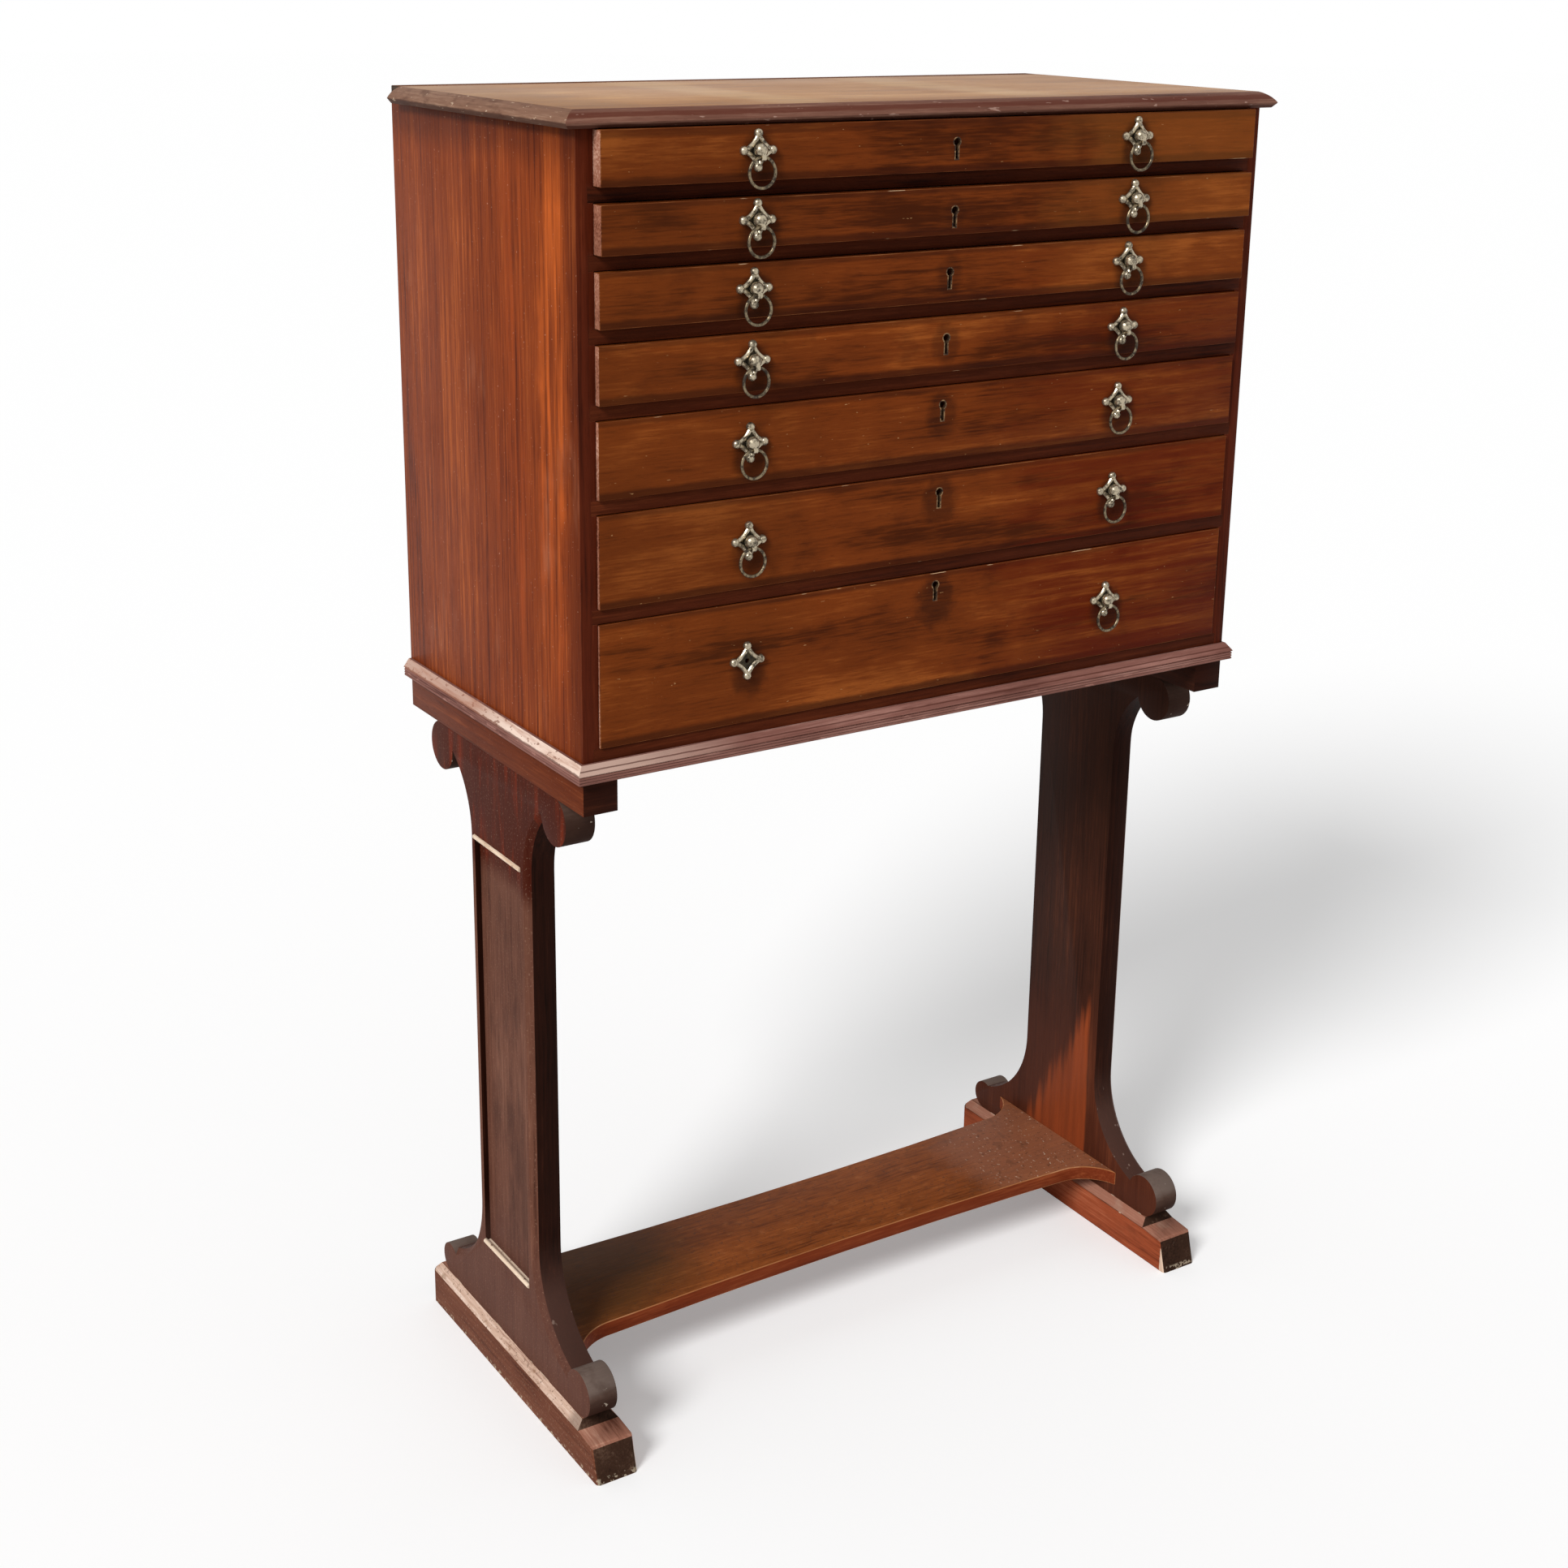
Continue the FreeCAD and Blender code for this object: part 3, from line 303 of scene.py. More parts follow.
STAND_TONES = ((66, 38, 29), (104, 66, 52), (134, 92, 74))
# The stand's front faces are painted dark as shade.
SHADED_FRONT_FACE_TONES = ((21, 9, 5), (40, 18, 11), (64, 33, 21))
INNER_TONES = ((38, 20, 13), (64, 34, 23), (100, 54, 34))
FOOT_TONES = ((72, 38, 26), (106, 62, 45), (138, 90, 68))
FOOT_TOP_TONES = ((110, 66, 50), (156, 106, 87), (190, 144, 122))
# The cream of the foot's outer slopes is a painted highlight.
FOOT_SLOPE_HIGHLIGHT_TONES = ((148, 112, 96), (202, 170, 150), (230, 206, 190))
SCROLL_TONES = ((50, 35, 29), (86, 65, 56), (120, 98, 87))
ROUGH_END_TONES = ((32, 20, 15), (60, 40, 30), (96, 72, 58))
SHELF_TONES = ((88, 42, 17), (130, 68, 30), (166, 95, 46))
SHELF_EDGE_TONES = ((76, 28, 13), (118, 50, 25), (152, 78, 44))
DRAWER_TONES = ((122, 78, 42), (156, 108, 64), (184, 138, 92))
# The pale pink of the drawer fronts' ends is a painted highlight.
LIT_DRAWER_END_TONES = ((110, 62, 46), (158, 104, 82), (204, 158, 136))
DRAWER_ARRIS_TONES = ((64, 28, 14), (112, 60, 30), (158, 104, 62))
BACK_TONES = ((82, 46, 26), (112, 66, 38), (138, 88, 54))
SOOT = (24, 12, 9)


def brass(name, bright, dull, roughness, tarnish=(0.42, 0.62)):
    """Old brass, dulled in its hollows and rubbed on what stands out."""
    finish = Finish(name)
    place = finish.place()
    cloud = finish.noise(place, 260.0, 4.0, 0.6)
    grit = finish.noise(place, 1500.0, 3.0, 0.6)
    dulled = (cloud * 0.7 + grit * 0.3).between(*tarnish)
    colour = finish.mix(dulled, srgb(*bright), srgb(*dull))
    finish.set(Base_Color=colour, Metallic=0.95 - dulled * 0.3,
               Roughness=roughness + dulled * 0.25, Normal=finish.bump(grit, 0.12, 0.0002))
    return finish.material


def dark_steel():
    """Old screws."""
    finish = Finish("screw_steel")
    rust = finish.noise(finish.place(), 300.0, 4.0, 0.6)
    colour = finish.mix(rust.between(0.4, 0.7), srgb(88, 82, 76), srgb(70, 46, 32))
    finish.set(Base_Color=colour, Metallic=0.8, Roughness=0.45 + rust * 0.2)
    return finish.material


# Pieces ------------------------------------------------------------------------------------

# The angle from which an edge is an arris, the angle under which two faces are one, and how
# near two corners are when they are one.
SHARP = math.radians(32)
FLAT = math.radians(0.6)
WELD = 0.02 * MM


def cad_copy(node):
    """The welded shape of a CAD node, with its flat faces made whole."""
    shape = bmesh.new()
    shape.from_mesh(frame["nodes"][node].data)
    bmesh.ops.remove_doubles(shape, verts=shape.verts, dist=WELD)
    bmesh.ops.dissolve_limit(shape, angle_limit=FLAT, verts=shape.verts, edges=shape.edges,
                             use_dissolve_boundaries=False, delimit={"NORMAL"})
    return shape


def ease(shape, width, segments, worn, shortest):
    """Rounds over the outer arrises of a shape; the new faces may take a finish of their own."""
    arrises = [edge for edge in shape.edges
               if edge.is_manifold and edge.is_convex and edge.calc_face_angle(0) > SHARP
               and edge.calc_length() > shortest]
    made = bmesh.ops.bevel(shape, geom=arrises, offset=width, offset_type="OFFSET",
                           affect="EDGES", segments=segments, profile=0.5, material=-1,
                           clamp_overlap=True)
    if worn is not None:
        for face in made["faces"]:
            face.material_index = worn


def body_of(node):
    return frame["nodes"][node]["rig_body"]


def stand_in(node, shape, finishes):
    """Turns a shape into the piece that is seen in place of a CAD node."""
    mesh = bpy.data.meshes.new(f"{node}_eased")
    shape.to_mesh(mesh)
    shape.free()
    for finish in finishes:
        mesh.materials.append(finish)
    mesh.polygons.foreach_set("use_smooth", [True] * len(mesh.polygons))
    mesh.set_sharp_from_angle(angle=SHARP)
    piece = bpy.data.objects.new(f"{node}_eased", mesh)
    bpy.context.scene.collection.objects.link(piece)
    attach(piece, body_of(node))
    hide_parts(node)


def paint(node, finish):
    """Gives a CAD node its finish as it is."""
    data = frame["nodes"][node].data
    data.materials.clear()
    data.materials.append(finish)


def points(face, way, least=0.9):
    """Whether a face looks along an axis, such as X or -Y."""
    along = face.normal["XYZ".index(way[-1])]
    return (-along if way[0] == "-" else along) > least


def dress(node, finishes, width, edge=None, sort=None, shortest=0.0, segments=2, extra=None,
          rounded=None):
    """Stands an eased copy in for a CAD node.

    Sort gives a face the index of its finish, edge is the finish of the eased arrises, extra
    adds to the shape, and rounded is a test for edges with the width of their larger rounds.
    """
    shape = cad_copy(node)
    worn = None
    if edge:
        worn = len(finishes)
        finishes = [*finishes, edge]
    if sort:
        for face in shape.faces:
            face.material_index = sort(face)
    if rounded:
        test, radius = rounded
        bmesh.ops.bevel(shape, geom=[edge for edge in shape.edges if test(edge)], offset=radius,
                        offset_type="OFFSET", affect="EDGES", segments=4, profile=0.5,
                        material=-1, clamp_overlap=True)
    if width:
        ease(shape, width, segments, worn, shortest)
    if extra:
        extra(shape)
    paint(node, finishes[0])
    stand_in(node, shape, finishes)


# The case ----------------------------------------------------------------------------------


def make_case():
    """The boards of the case and what lies inside it."""
    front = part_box("case_side_left")[0][1]
    side = timber("side_mahogany", "Z", SIDE_TONES, bands=0.6, streaks=1.6, fleck=0.5,
                  uneven=0.45, grime=0.2, marks=(
        ((206, 100, 40), clouds(130, 0.36, 0.64, 0.85, (1, 1, 0.04), patch(
            (0, front + 0.040, 1.03), (None, 0.036, 0.22), 1.0, 1.2, 22, 1.3))),
        ((192, 88, 34), clouds(130, 0.40, 0.66, 0.65, (1, 1, 0.04), patch(
            (0, front + 0.050, 0.84), (None, 0.030, 0.18), 1.0, 1.4, 22, 1.2))),
        ((176, 78, 30), clouds(90, 0.40, 0.66, 0.45, (1, 1, 0.04), patch(
            (0, front + 0.110, 0.95), (None, 0.050, 0.30), 1.0, 1.4, 12, 1.3))),
        ((60, 20, 10), strip("Y", front - 0.01, front + 0.010, 0.018, 0.45, 0.012, 20)),
        # Painted shadow of the top board's overhang along the top of the side.
        ((56, 20, 10), strip("Z", 1.176, 1.2, 0.03, 0.5, 0.02, 20)),
        # Pale pinkish patches: painted sheen.
        ((186, 122, 92), clouds(5, 0.60, 0.80, 0.35, (3, 3, 1))),
        ((220, 176, 150), specks(420, 0.70, 0.5))))
    case_edge = timber("case_edge_mahogany", "Z", CASE_EDGE_TONES, streaks=1.2)
    rubbed = timber("rubbed_mahogany", "Z", ((96, 44, 28), (134, 70, 46), (176, 112, 82)),
                    fleck=1.2, gloss=0.5)
    top = timber("top_mahogany", "X", TOP_TONES, bands=0.45, streaks=0.8, fleck=0.6, gloss=0.4,
                 shine=0.04, marks=(
        ((120, 82, 52), strip("X", -0.4, -0.30, 0.05, 0.4, 0.06, 9)),
        # Two pale bands across the top: a painted reflection.
        ((214, 178, 132), strip("X", -0.145, -0.12, 0.035, 0.3, 0.05, 9)),
        ((214, 178, 132), strip("X", 0.10, 0.125, 0.035, 0.28, 0.05, 9)),
        ((138, 92, 56), strip("Y", -0.2, -0.15, 0.03, 0.45, 0.05, 8)),
        ((120, 84, 58), clouds(9, 0.56, 0.74, 0.4, (1, 3, 1))),
        ((96, 70, 52), specks(260, 0.68, 0.5, (1, 3, 1)))))
    top_edge = timber("top_edge_mahogany", "X", TOP_EDGE_TONES, streaks=1.0, gloss=0.5, marks=(
        ((90, 42, 30), strip("Z", 1.1945, 1.1970, 0.0012, 0.7, 0.002, 30)),
        # Painted shade on the underside of the moulded edge.
        ((54, 24, 16), strip("Z", 1.180, 1.1880, 0.0015, 0.7, 0.002, 30)),
        ((190, 156, 140), specks(220, 0.68, 0.5, (0.3, 1, 1)))))
    top_end = timber("top_end_mahogany", "Y", TOP_END_TONES, streaks=0.7, fleck=0.7, gloss=0.6,
                     marks=(
        ((70, 40, 30), clouds(60, 0.50, 0.66, 0.5, (1, 0.4, 1))),
        # Painted shade along the underside of the moulded end.
        ((60, 34, 28), strip("Z", 1.186, 1.1895, 0.002, 0.7, 0.003, 60)),
        ((206, 182, 156), specks(260, 0.66, 0.6, (1, 0.4, 1)))))
    rail = timber("rail_mahogany", "X", RAIL_TONES, gloss=0.5)
    back = timber("back_board_wood", "X", BACK_TONES, gloss=0.7)
    end_grain = timber("back_board_end_wood", "Y", ((38, 30, 26), (66, 54, 46), (96, 82, 70)),
                       gloss=0.7)

    def top_face(face):
        """The top, its moulded front and back, and its ends."""
        if points(face, "Z", 0.98):
            return 0
        return 2 if points(face, "X", 0.3) or points(face, "-X", 0.3) else 1

    dress("top_board", [top, top_edge, top_end], 0.5 * MM, sort=top_face)
    for name, _ in SIDES:
        dress(f"case_side_{name}", [side, case_edge], 0.9 * MM, edge=rubbed,
              sort=lambda face: 1 if points(face, "-Y") else 0)
    dress("case_back", [back, end_grain], 0.8 * MM,
          sort=lambda face: 1 if points(face, "X") or points(face, "-X") else 0)
    dress("divider_rails", [rail], 0.5 * MM)
    paint("case_bottom", back)
    runner = timber("runner_wood", "Y", DRAWER_TONES, gloss=0.7)
    paint("drawer_runners", runner)
    paint("drawer_stops", runner)


# How far the slope over the reeds of the base moulding comes down from its top.
SLOPE_DROP = 8.2 * MM


def make_base_moulding():
    """The reeded moulding, with a slope over it that is painted cream on the returns as a
    highlight.
    """
    reeds = timber("reed_mahogany", "X", REED_TONES, streaks=1.3, gloss=0.5, marks=(
        ((170, 124, 112), specks(160, 0.62, 0.5, (0.3, 1, 1))),))
    side_reeds = timber("side_reed_mahogany", "Y", REED_TONES, streaks=1.3, gloss=0.5, marks=(
        ((170, 124, 112), specks(160, 0.62, 0.5, (1, 0.3, 1))),))
    # The side slopes are painted cream as a highlight, fading towards the back.
    highlit = timber("base_slope_highlight_mahogany", "Y", BASE_SLOPE_HIGHLIGHT_TONES, streaks=0.8, gloss=0.55, marks=(
        ((112, 70, 54), specks(240, 0.62, 0.7, (1, 0.5, 1))),
        ((96, 54, 42), strip("Z", 0.66, 0.6712, 0.0008, 0.8, 0.002, 130)),
        ((150, 98, 78), strip("Y", 0.06, 0.3, 0.12, 0.6, 0.06, 20)),
        ((168, 118, 96), clouds(60, 0.50, 0.66, 0.65, (1, 0.2, 2)))))
    fillet = timber("fillet_mahogany", "X", ((92, 56, 48), (132, 88, 78), (170, 124, 112)),
                    gloss=0.5, marks=(
        # Pale towards the left end: the painted highlight of the return carried round the corner.
        ((214, 182, 166), strip("X", -0.4, -0.34, 0.16, 0.75, 0.05, 16)),
        ((84, 46, 38), strip("Z", 0.6735, 0.6741, 0.0004, 0.75, 0.0006, 90))))
    reeds_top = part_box("base_moulding_front")[1][2] - SLOPE_DROP

    def slope(face):
        """The reeds, and the slope over them."""
        return 1 if face.calc_center_median().z > reeds_top and face.normal.z < 0.95 else 0

    dress("base_moulding_front", [reeds, fillet], 0, sort=slope)
    for name, _ in SIDES:
        dress(f"base_moulding_{name}", [side_reeds, highlit], 0, sort=slope)


# The stand ---------------------------------------------------------------------------------

# The finishes of an upright and of a foot, in the order that their woods are listed in.
OUTER, FRONT, INNER, SCROLL, BEAD = range(5)
FOOT_OUTER, FOOT_TOP, FOOT_SLOPE, FOOT_END, FOOT_INNER = range(5)
# The beads at the foot and the head of an upright's panel: their heights from the floor, how far
# each goes up and down from there, and how far in from the outer face they are looked for.
PANEL_BEADS = (0.124, 0.541)
BEAD_REACH = 3.2 * MM
PANEL_DEPTH = 6.5 * MM
# Each scroll of an upright: its centre, from the middle of the case and the floor, and its reach.
SCROLLS = ((-0.144, 0.066, 0.0226), (0.131, 0.060, 0.0166),
           (-0.113, 0.609, 0.0236), (0.113, 0.609, 0.0236))
# A foot: the top of the block under its plinth, how far back its toe goes, how high the top edge
# of the toe is at least, how tall a corner is at least, and how wide those edges are rounded.
BLOCK_TOP = 34.5 * MM
TOE_LENGTH = 12 * MM
TOE_TOP = 25 * MM
CORNER_HEIGHT = 20 * MM
CORNER_ROUND = 4.5 * MM


def bearer_woods():
    """The outer side, darkened as painted shade under the moulding, the ends, and the underside,
    painted dark as shade.
    """
    # The sides are darkened as painted shade under the moulding.
    bearer = timber("bearer_mahogany", "Y", SHADED_BEARER_TONES, marks=(
        ((60, 24, 14), clouds(14, 0.55, 0.75, 0.5, (1, 0.4, 1))),
        ((150, 112, 92), specks(420, 0.68, 0.5))))
    bearer_end = timber("bearer_end_mahogany", "X", ((26, 10, 6), (46, 20, 12), (68, 33, 20)))
    # The underside and the inner side are painted dark as shade.
    bearer_under = timber("bearer_shaded_under_mahogany", "Y", ((26, 12, 8), (46, 22, 14), (66, 34, 22)))
    return [bearer, bearer_end, bearer_under]


def upright_woods():
    """The outside; the front and back, painted dark as shade; the inside, with a painted patch of
    sunlight and painted shade under the case; the scrolls, with painted shade and highlights; and
    the beads of the panel, painted pale as a highlight.
    """
    outer = timber("upright_mahogany", "Z", STAND_TONES, streaks=1.1, gloss=0.5, marks=(
        ((60, 14, 3), strip("Z", 0.53, 0.65, 0.03, 0.82, 0.04, 12)),
        ((118, 42, 18), clouds(24, 0.48, 0.68, 0.6, (1, 3, 0.4), strip("Z", 0.54, 0.65, 0.03))),
        ((84, 54, 46), strip("Z", 0.0, 0.12, 0.08, 0.6, 0.05, 12)),
        ((140, 106, 88), specks(520, 0.63, 0.45)),
        ((56, 34, 28), clouds(16, 0.55, 0.72, 0.5, (1, 1, 0.4)))))
    # The front and back faces are painted dark as shade.
    front = timber("upright_front_mahogany", "Z", SHADED_FRONT_FACE_TONES, streaks=1.1, gloss=0.45,
                   marks=(((86, 60, 52), strip("Z", 0.0, 0.11, 0.07, 0.65, 0.03, 30)),
                          ((150, 126, 114), specks(120, 0.66, 0.5, (1, 1, 0.3),
                                                   strip("Z", 0.0, 0.12, 0.05)))))
    inner = timber("upright_inner_mahogany", "Z", INNER_TONES, streaks=1.1, gloss=0.45, marks=(
        # A painted patch of sunlight low on the inside.
        ((168, 78, 38), sunlit_slant((-0.034, 0.074), (0.105, 0.19), 0.78)),
        ((96, 46, 30), strip("Z", 0.07, 0.16, 0.14, 0.35, 0.05, 14)),
        # Painted shade under the case at the top of the inside.
        ((46, 26, 18), strip("Z", 0.48, 0.65, 0.10, 0.6, 0.05, 10))))
    scroll = timber("scroll_mahogany", "X", SCROLL_TONES, bands=0.2, streaks=0.35, fleck=0.4,
                    gloss=0.6, marks=(
        # Painted shade under the lower scrolls and a painted highlight over their tops.
        ((52, 31, 24), strip("Z", 0.0, 0.058, 0.016, 0.8, 0.012, 60)),
        ((122, 108, 100), strip("Z", 0.078, 0.12, 0.010, 0.55, 0.010, 60)),
        # Painted shade under the upper scrolls.
        ((40, 22, 16), strip("Z", 0.5, 0.606, 0.020, 0.8, 0.008, 60)),
        ((62, 42, 34), clouds(34, 0.52, 0.72, 0.5)),
        ((206, 190, 172), specks(110, 0.68, 0.7))))
    # The beads are painted pale as a highlight.
    bead = timber("bead_highlight_mahogany", "Y", ((200, 168, 140), (232, 210, 186), (244, 228, 208)),
                  fleck=1.0, gloss=0.6, marks=(
        ((110, 70, 50), specks(260, 0.64, 0.8)),))
    return [outer, front, inner, scroll, bead]


def foot_woods():
    """The outer side, the top, the slope of the plinth painted pale as a highlight, the toe and
    the inner side.
    """
    foot = timber("foot_mahogany", "Y", FOOT_TONES, streaks=1.1, gloss=0.55, marks=(
        ((150, 118, 98), specks(420, 0.62, 0.5)),
        ((52, 30, 22), clouds(22, 0.54, 0.72, 0.5, (1, 0.4, 1))),
        ((196, 176, 150), specks(190, 0.56, 0.6, where=strip("Z", 0.0, 0.003, 0.003)))))
    foot_inside = timber("foot_inside_mahogany", "Y", ((104, 46, 27), (148, 72, 44),
                                                       (184, 106, 74)),
                         gloss=0.55, marks=(
        ((70, 34, 22), clouds(22, 0.54, 0.72, 0.5, (1, 0.4, 1))),
        ((226, 200, 176), strip("Y", -0.2, -0.1735, 0.0015, 0.8, 0.003, 90))))
    foot_top = timber("foot_top_mahogany", "Y", FOOT_TOP_TONES, gloss=0.55, marks=(
        ((168, 140, 122), clouds(34, 0.54, 0.74, 0.4)),))
    slope = timber("foot_slope_highlight_mahogany", "Y", FOOT_SLOPE_HIGHLIGHT_TONES, fleck=1.2, gloss=0.6, marks=(
        ((128, 92, 62), clouds(90, 0.54, 0.68, 0.55)),
        ((90, 64, 48), specks(300, 0.62, 0.6)),
        ((134, 112, 98), strip("Y", -0.2, -0.130, 0.012, 0.75, 0.01, 40))))
    rough_end = timber("foot_end_mahogany", "Y", ROUGH_END_TONES, streaks=0.5, fleck=0.5,
                       uneven=1.2, gloss=0.65, relief=0.7, marks=(
        ((190, 172, 148), specks(210, 0.55, 0.7, where=strip("Z", 0.0, 0.004, 0.003))),
        ((140, 112, 92), clouds(70, 0.58, 0.74, 0.5))))
    return [foot, foot_top, slope, rough_end, foot_inside]


def upright_sorter(side, outside, middle):
    """Sorts the faces of the upright on one side, whose outer face is at a given x."""
    def on_scroll(face):
        return abs(face.normal.x) < 0.5 and any(
            all(math.hypot(vert.co.y - middle - across, vert.co.z - height) < reach
                for vert in face.verts)
            for across, height, reach in SCROLLS)

    def on_bead(face):
        return abs(face.calc_center_median().x - outside) < PANEL_DEPTH and any(
            all(abs(vert.co.z - bead) < BEAD_REACH for vert in face.verts)
            for bead in PANEL_BEADS)

    def sort(face):
        if on_scroll(face):
            return SCROLL
        if on_bead(face):
            return BEAD
        if face.normal.x * side > 0.5:
            return OUTER
        return INNER if face.normal.x * side < -0.5 else FRONT
    return sort


def foot_sorter(side):
    """Sorts the faces of the foot on one side."""
    def sort(face):
        if points(face, "Y", 0.75) or points(face, "-Y", 0.75):
            return FOOT_END
        if 0.2 < face.normal.z < 0.92 and face.calc_center_median().z > BLOCK_TOP:
            # Slopes facing outwards or forwards take the pale finish, a painted highlight.
            highlit = face.normal.x * side > 0.3 or points(face, "-Y", 0.3)
            return FOOT_SLOPE if highlit else FOOT_TOP
        if points(face, "Z"):
            return FOOT_TOP
        return FOOT_INNER if face.normal.x * side < -0.5 else FOOT_OUTER
    return sort


def foot_corners(name):
    """A test for the upright corners of the toe and the heel, and the top edge of the toe."""
    low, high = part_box(name)

    def corner(edge):
        ends = [vert.co for vert in edge.verts]
        at_toe = all(end.y < low[1] + TOE_LENGTH for end in ends)
        at_heel = all(end.y > high[1] - MM for end in ends)
        stands = abs(ends[0].z - ends[1].z) > CORNER_HEIGHT
        along_top = at_toe and all(end.z > TOE_TOP for end in ends)
        return (stands and (at_toe or at_heel)) or along_top
    return corner


def bearer_sorter(side):
    """Sorts the faces of the bearer on one side, whose inner side is painted as dark as its
    underside, as shade.
    """
    def sort(face):
        if points(face, "Y") or points(face, "-Y"):
            return 1
        return 2 if points(face, "-Z") or face.normal.x * side < -0.9 else 0
    return sort


def make_stand():
    """The bearer, upright and foot of each side, then the shelf that ties them."""
    bearer = bearer_woods()
    upright = upright_woods()
    foot = foot_woods()
    shelf = timber("shelf_mahogany", "X", SHELF_TONES, bands=0.35, streaks=0.6, fleck=1.0, marks=(
        ((92, 46, 20), clouds(70, 0.50, 0.70, 0.4, (0.6, 1, 1))),
        ((168, 102, 58), clouds(95, 0.56, 0.74, 0.35, (0.6, 1, 1))),
        # Painted shadow over the left part of the shelf, cast by the left upright.
        ((66, 44, 20), patch((-0.30, 0.03, 0), (0.20, 0.12, None), 0.75, 0.7, 10)),
        ((142, 92, 70), patch((0.27, 0.0, 0), (0.11, 0.18, None), 0.6, 1.0, 22)),
        ((206, 182, 158), specks(380, 0.66, 0.6, (1, 0.6, 1), patch(
            (0.275, -0.02, 0), (0.11, 0.15, None)))),
        ((92, 58, 42), specks(60, 0.60, 0.35, (1, 0.6, 1), patch(
            (0.26, -0.02, 0), (0.13, 0.15, None)))),
        ((70, 46, 34), specks(300, 0.63, 0.55))))
    shelf_edge = timber("shelf_edge_mahogany", "X", SHELF_EDGE_TONES)
    rubbed = timber("rubbed_shelf_mahogany", "X", ((132, 76, 42), (168, 108, 66), (204, 152, 112)))
    chipped = timber("chipped_foot_mahogany", "Y", ((66, 36, 25), (108, 66, 49), (150, 108, 86)),
                     fleck=1.2, gloss=0.6, marks=(
        ((214, 192, 166), specks(110, 0.62, 0.8, (1, 0.4, 1))),))
    middle = sum(corner[1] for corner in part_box("case_side_left")) / 2
    for name, side in SIDES:
        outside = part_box(f"upright_{name}")[0 if side < 0 else 1][0]
        dress(f"bearer_{name}", bearer, 0.8 * MM, sort=bearer_sorter(side))
        dress(f"upright_{name}", upright, 0.6 * MM, sort=upright_sorter(side, outside, middle))
        dress(f"foot_{name}", foot, 1.6 * MM, edge=chipped, sort=foot_sorter(side), segments=3,
              shortest=20 * MM, rounded=(foot_corners(f"foot_{name}"), CORNER_ROUND))
    dress("shelf", [shelf, shelf_edge], 1.2 * MM, edge=rubbed,
          sort=lambda face: 0 if points(face, "Z") else 1)
    paint("stand_screws", dark_steel())


# The drawers -------------------------------------------------------------------------------

# The pulls: how far each stands from the middle of its drawer and over the middle of the
# opening, and the gaps between a front and its opening.
PULL_ACROSS = 195 * MM
PULL_RISE = 2 * MM
GAP_BELOW = 0.3 * MM
GAP_ABOVE = 0.7 * MM
# A pull plate: a four-pointed star with hollow sides, rimmed and with a ball at each point.
PULL_REACH = 13.2 * MM
PLATE_HOLLOW = 22 * MM
PLATE_THICKNESS = 1.2 * MM
RIM_RADIUS = 2.0 * MM
RIM_PROUD = 0.2 * MM
RIM_SIDES = 10
RIM_STEPS = 7
BALL_RADIUS = 3.8 * MM
BALL_SINK = 0.6 * MM
BALL_SIDES = 16
BALL_RINGS = 10
# How far the stain of a keyhole lies under the top of the bolt, and how much further with each
# drawer down; how near the middle a keyhole is, and how far out the ends of a front are.
KEY_DROP = 18 * MM
KEY_DROP_STEP = 1.2 * MM
KEYHOLE_REACH = 100 * MM
FRONT_ENDS = 300 * MM


def pull_centres(number):
    """Where the plates of a drawer are, by their boxes: x, the face of the drawer and z."""
    low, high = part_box(f"drawer_{number}_front")
    height = (low[2] - GAP_BELOW + high[2] + GAP_ABOVE) / 2 + PULL_RISE
    return [Vector((PULL_ACROSS * side, low[1], height)) for _, side in SIDES]


def pull_rims():
    """The raised rims along the hollow sides of a pull plate, and the balls at its corners."""
    shape = bmesh.new()
    half_chord = PULL_REACH / math.sqrt(2)
    arc = 2 * math.asin(half_chord / PLATE_HOLLOW)
    away = half_chord + math.sqrt(PLATE_HOLLOW ** 2 - half_chord ** 2)
    hollow_centre = Vector((away, 0, away)) / math.sqrt(2)
    start = Vector((PULL_REACH, 0, 0))
    spoke = start - hollow_centre
    tangent = Vector((-spoke.z, 0, spoke.x)).normalized()
    facing = Vector((0, 0, 1)).rotation_difference(tangent).to_matrix().to_4x4()
    lift = Matrix.Translation((0, -PLATE_THICKNESS - RIM_PROUD, 0))
    for quarter in range(4):
        spot = lift @ Matrix.Rotation(math.pi / 2 * quarter, 4, "Y")
        ring = bmesh.ops.create_circle(shape, cap_ends=False, segments=RIM_SIDES,
                                       radius=RIM_RADIUS,
                                       matrix=spot @ Matrix.Translation(start) @ facing)["verts"]
        edges = list(dict.fromkeys(edge for vert in ring for edge in vert.link_edges))
        spun = bmesh.ops.spin(shape, geom=ring + edges, cent=spot @ hollow_centre, axis=(0, 1, 0),
                              angle=arc, steps=RIM_STEPS, use_merge=False, use_duplicate=False)
        last = [part for part in spun["geom_last"] if isinstance(part, bmesh.types.BMEdge)]
        bmesh.ops.contextual_create(shape, geom=edges)
        bmesh.ops.contextual_create(shape, geom=last)
        ball = spot @ Matrix.Translation(start + Vector((0, BALL_SINK, 0)))
        bmesh.ops.create_uvsphere(shape, u_segments=BALL_SIDES, v_segments=BALL_RINGS,
                                  radius=BALL_RADIUS, matrix=ball)
    bmesh.ops.recalc_face_normals(shape, faces=shape.faces)
    return shape


def set_rims(shape, rims, pulls):
    """Adds the rims of both pulls of a drawer to its fittings."""
    placed = rims.copy()
    mesh = bpy.data.meshes.new("rims")
    here = Vector()
    for pull in pulls:
        bmesh.ops.translate(placed, verts=placed.verts, vec=pull - here)
        here = pull
        placed.to_mesh(mesh)
        shape.from_mesh(mesh)
    placed.free()
    bpy.data.meshes.remove(mesh)


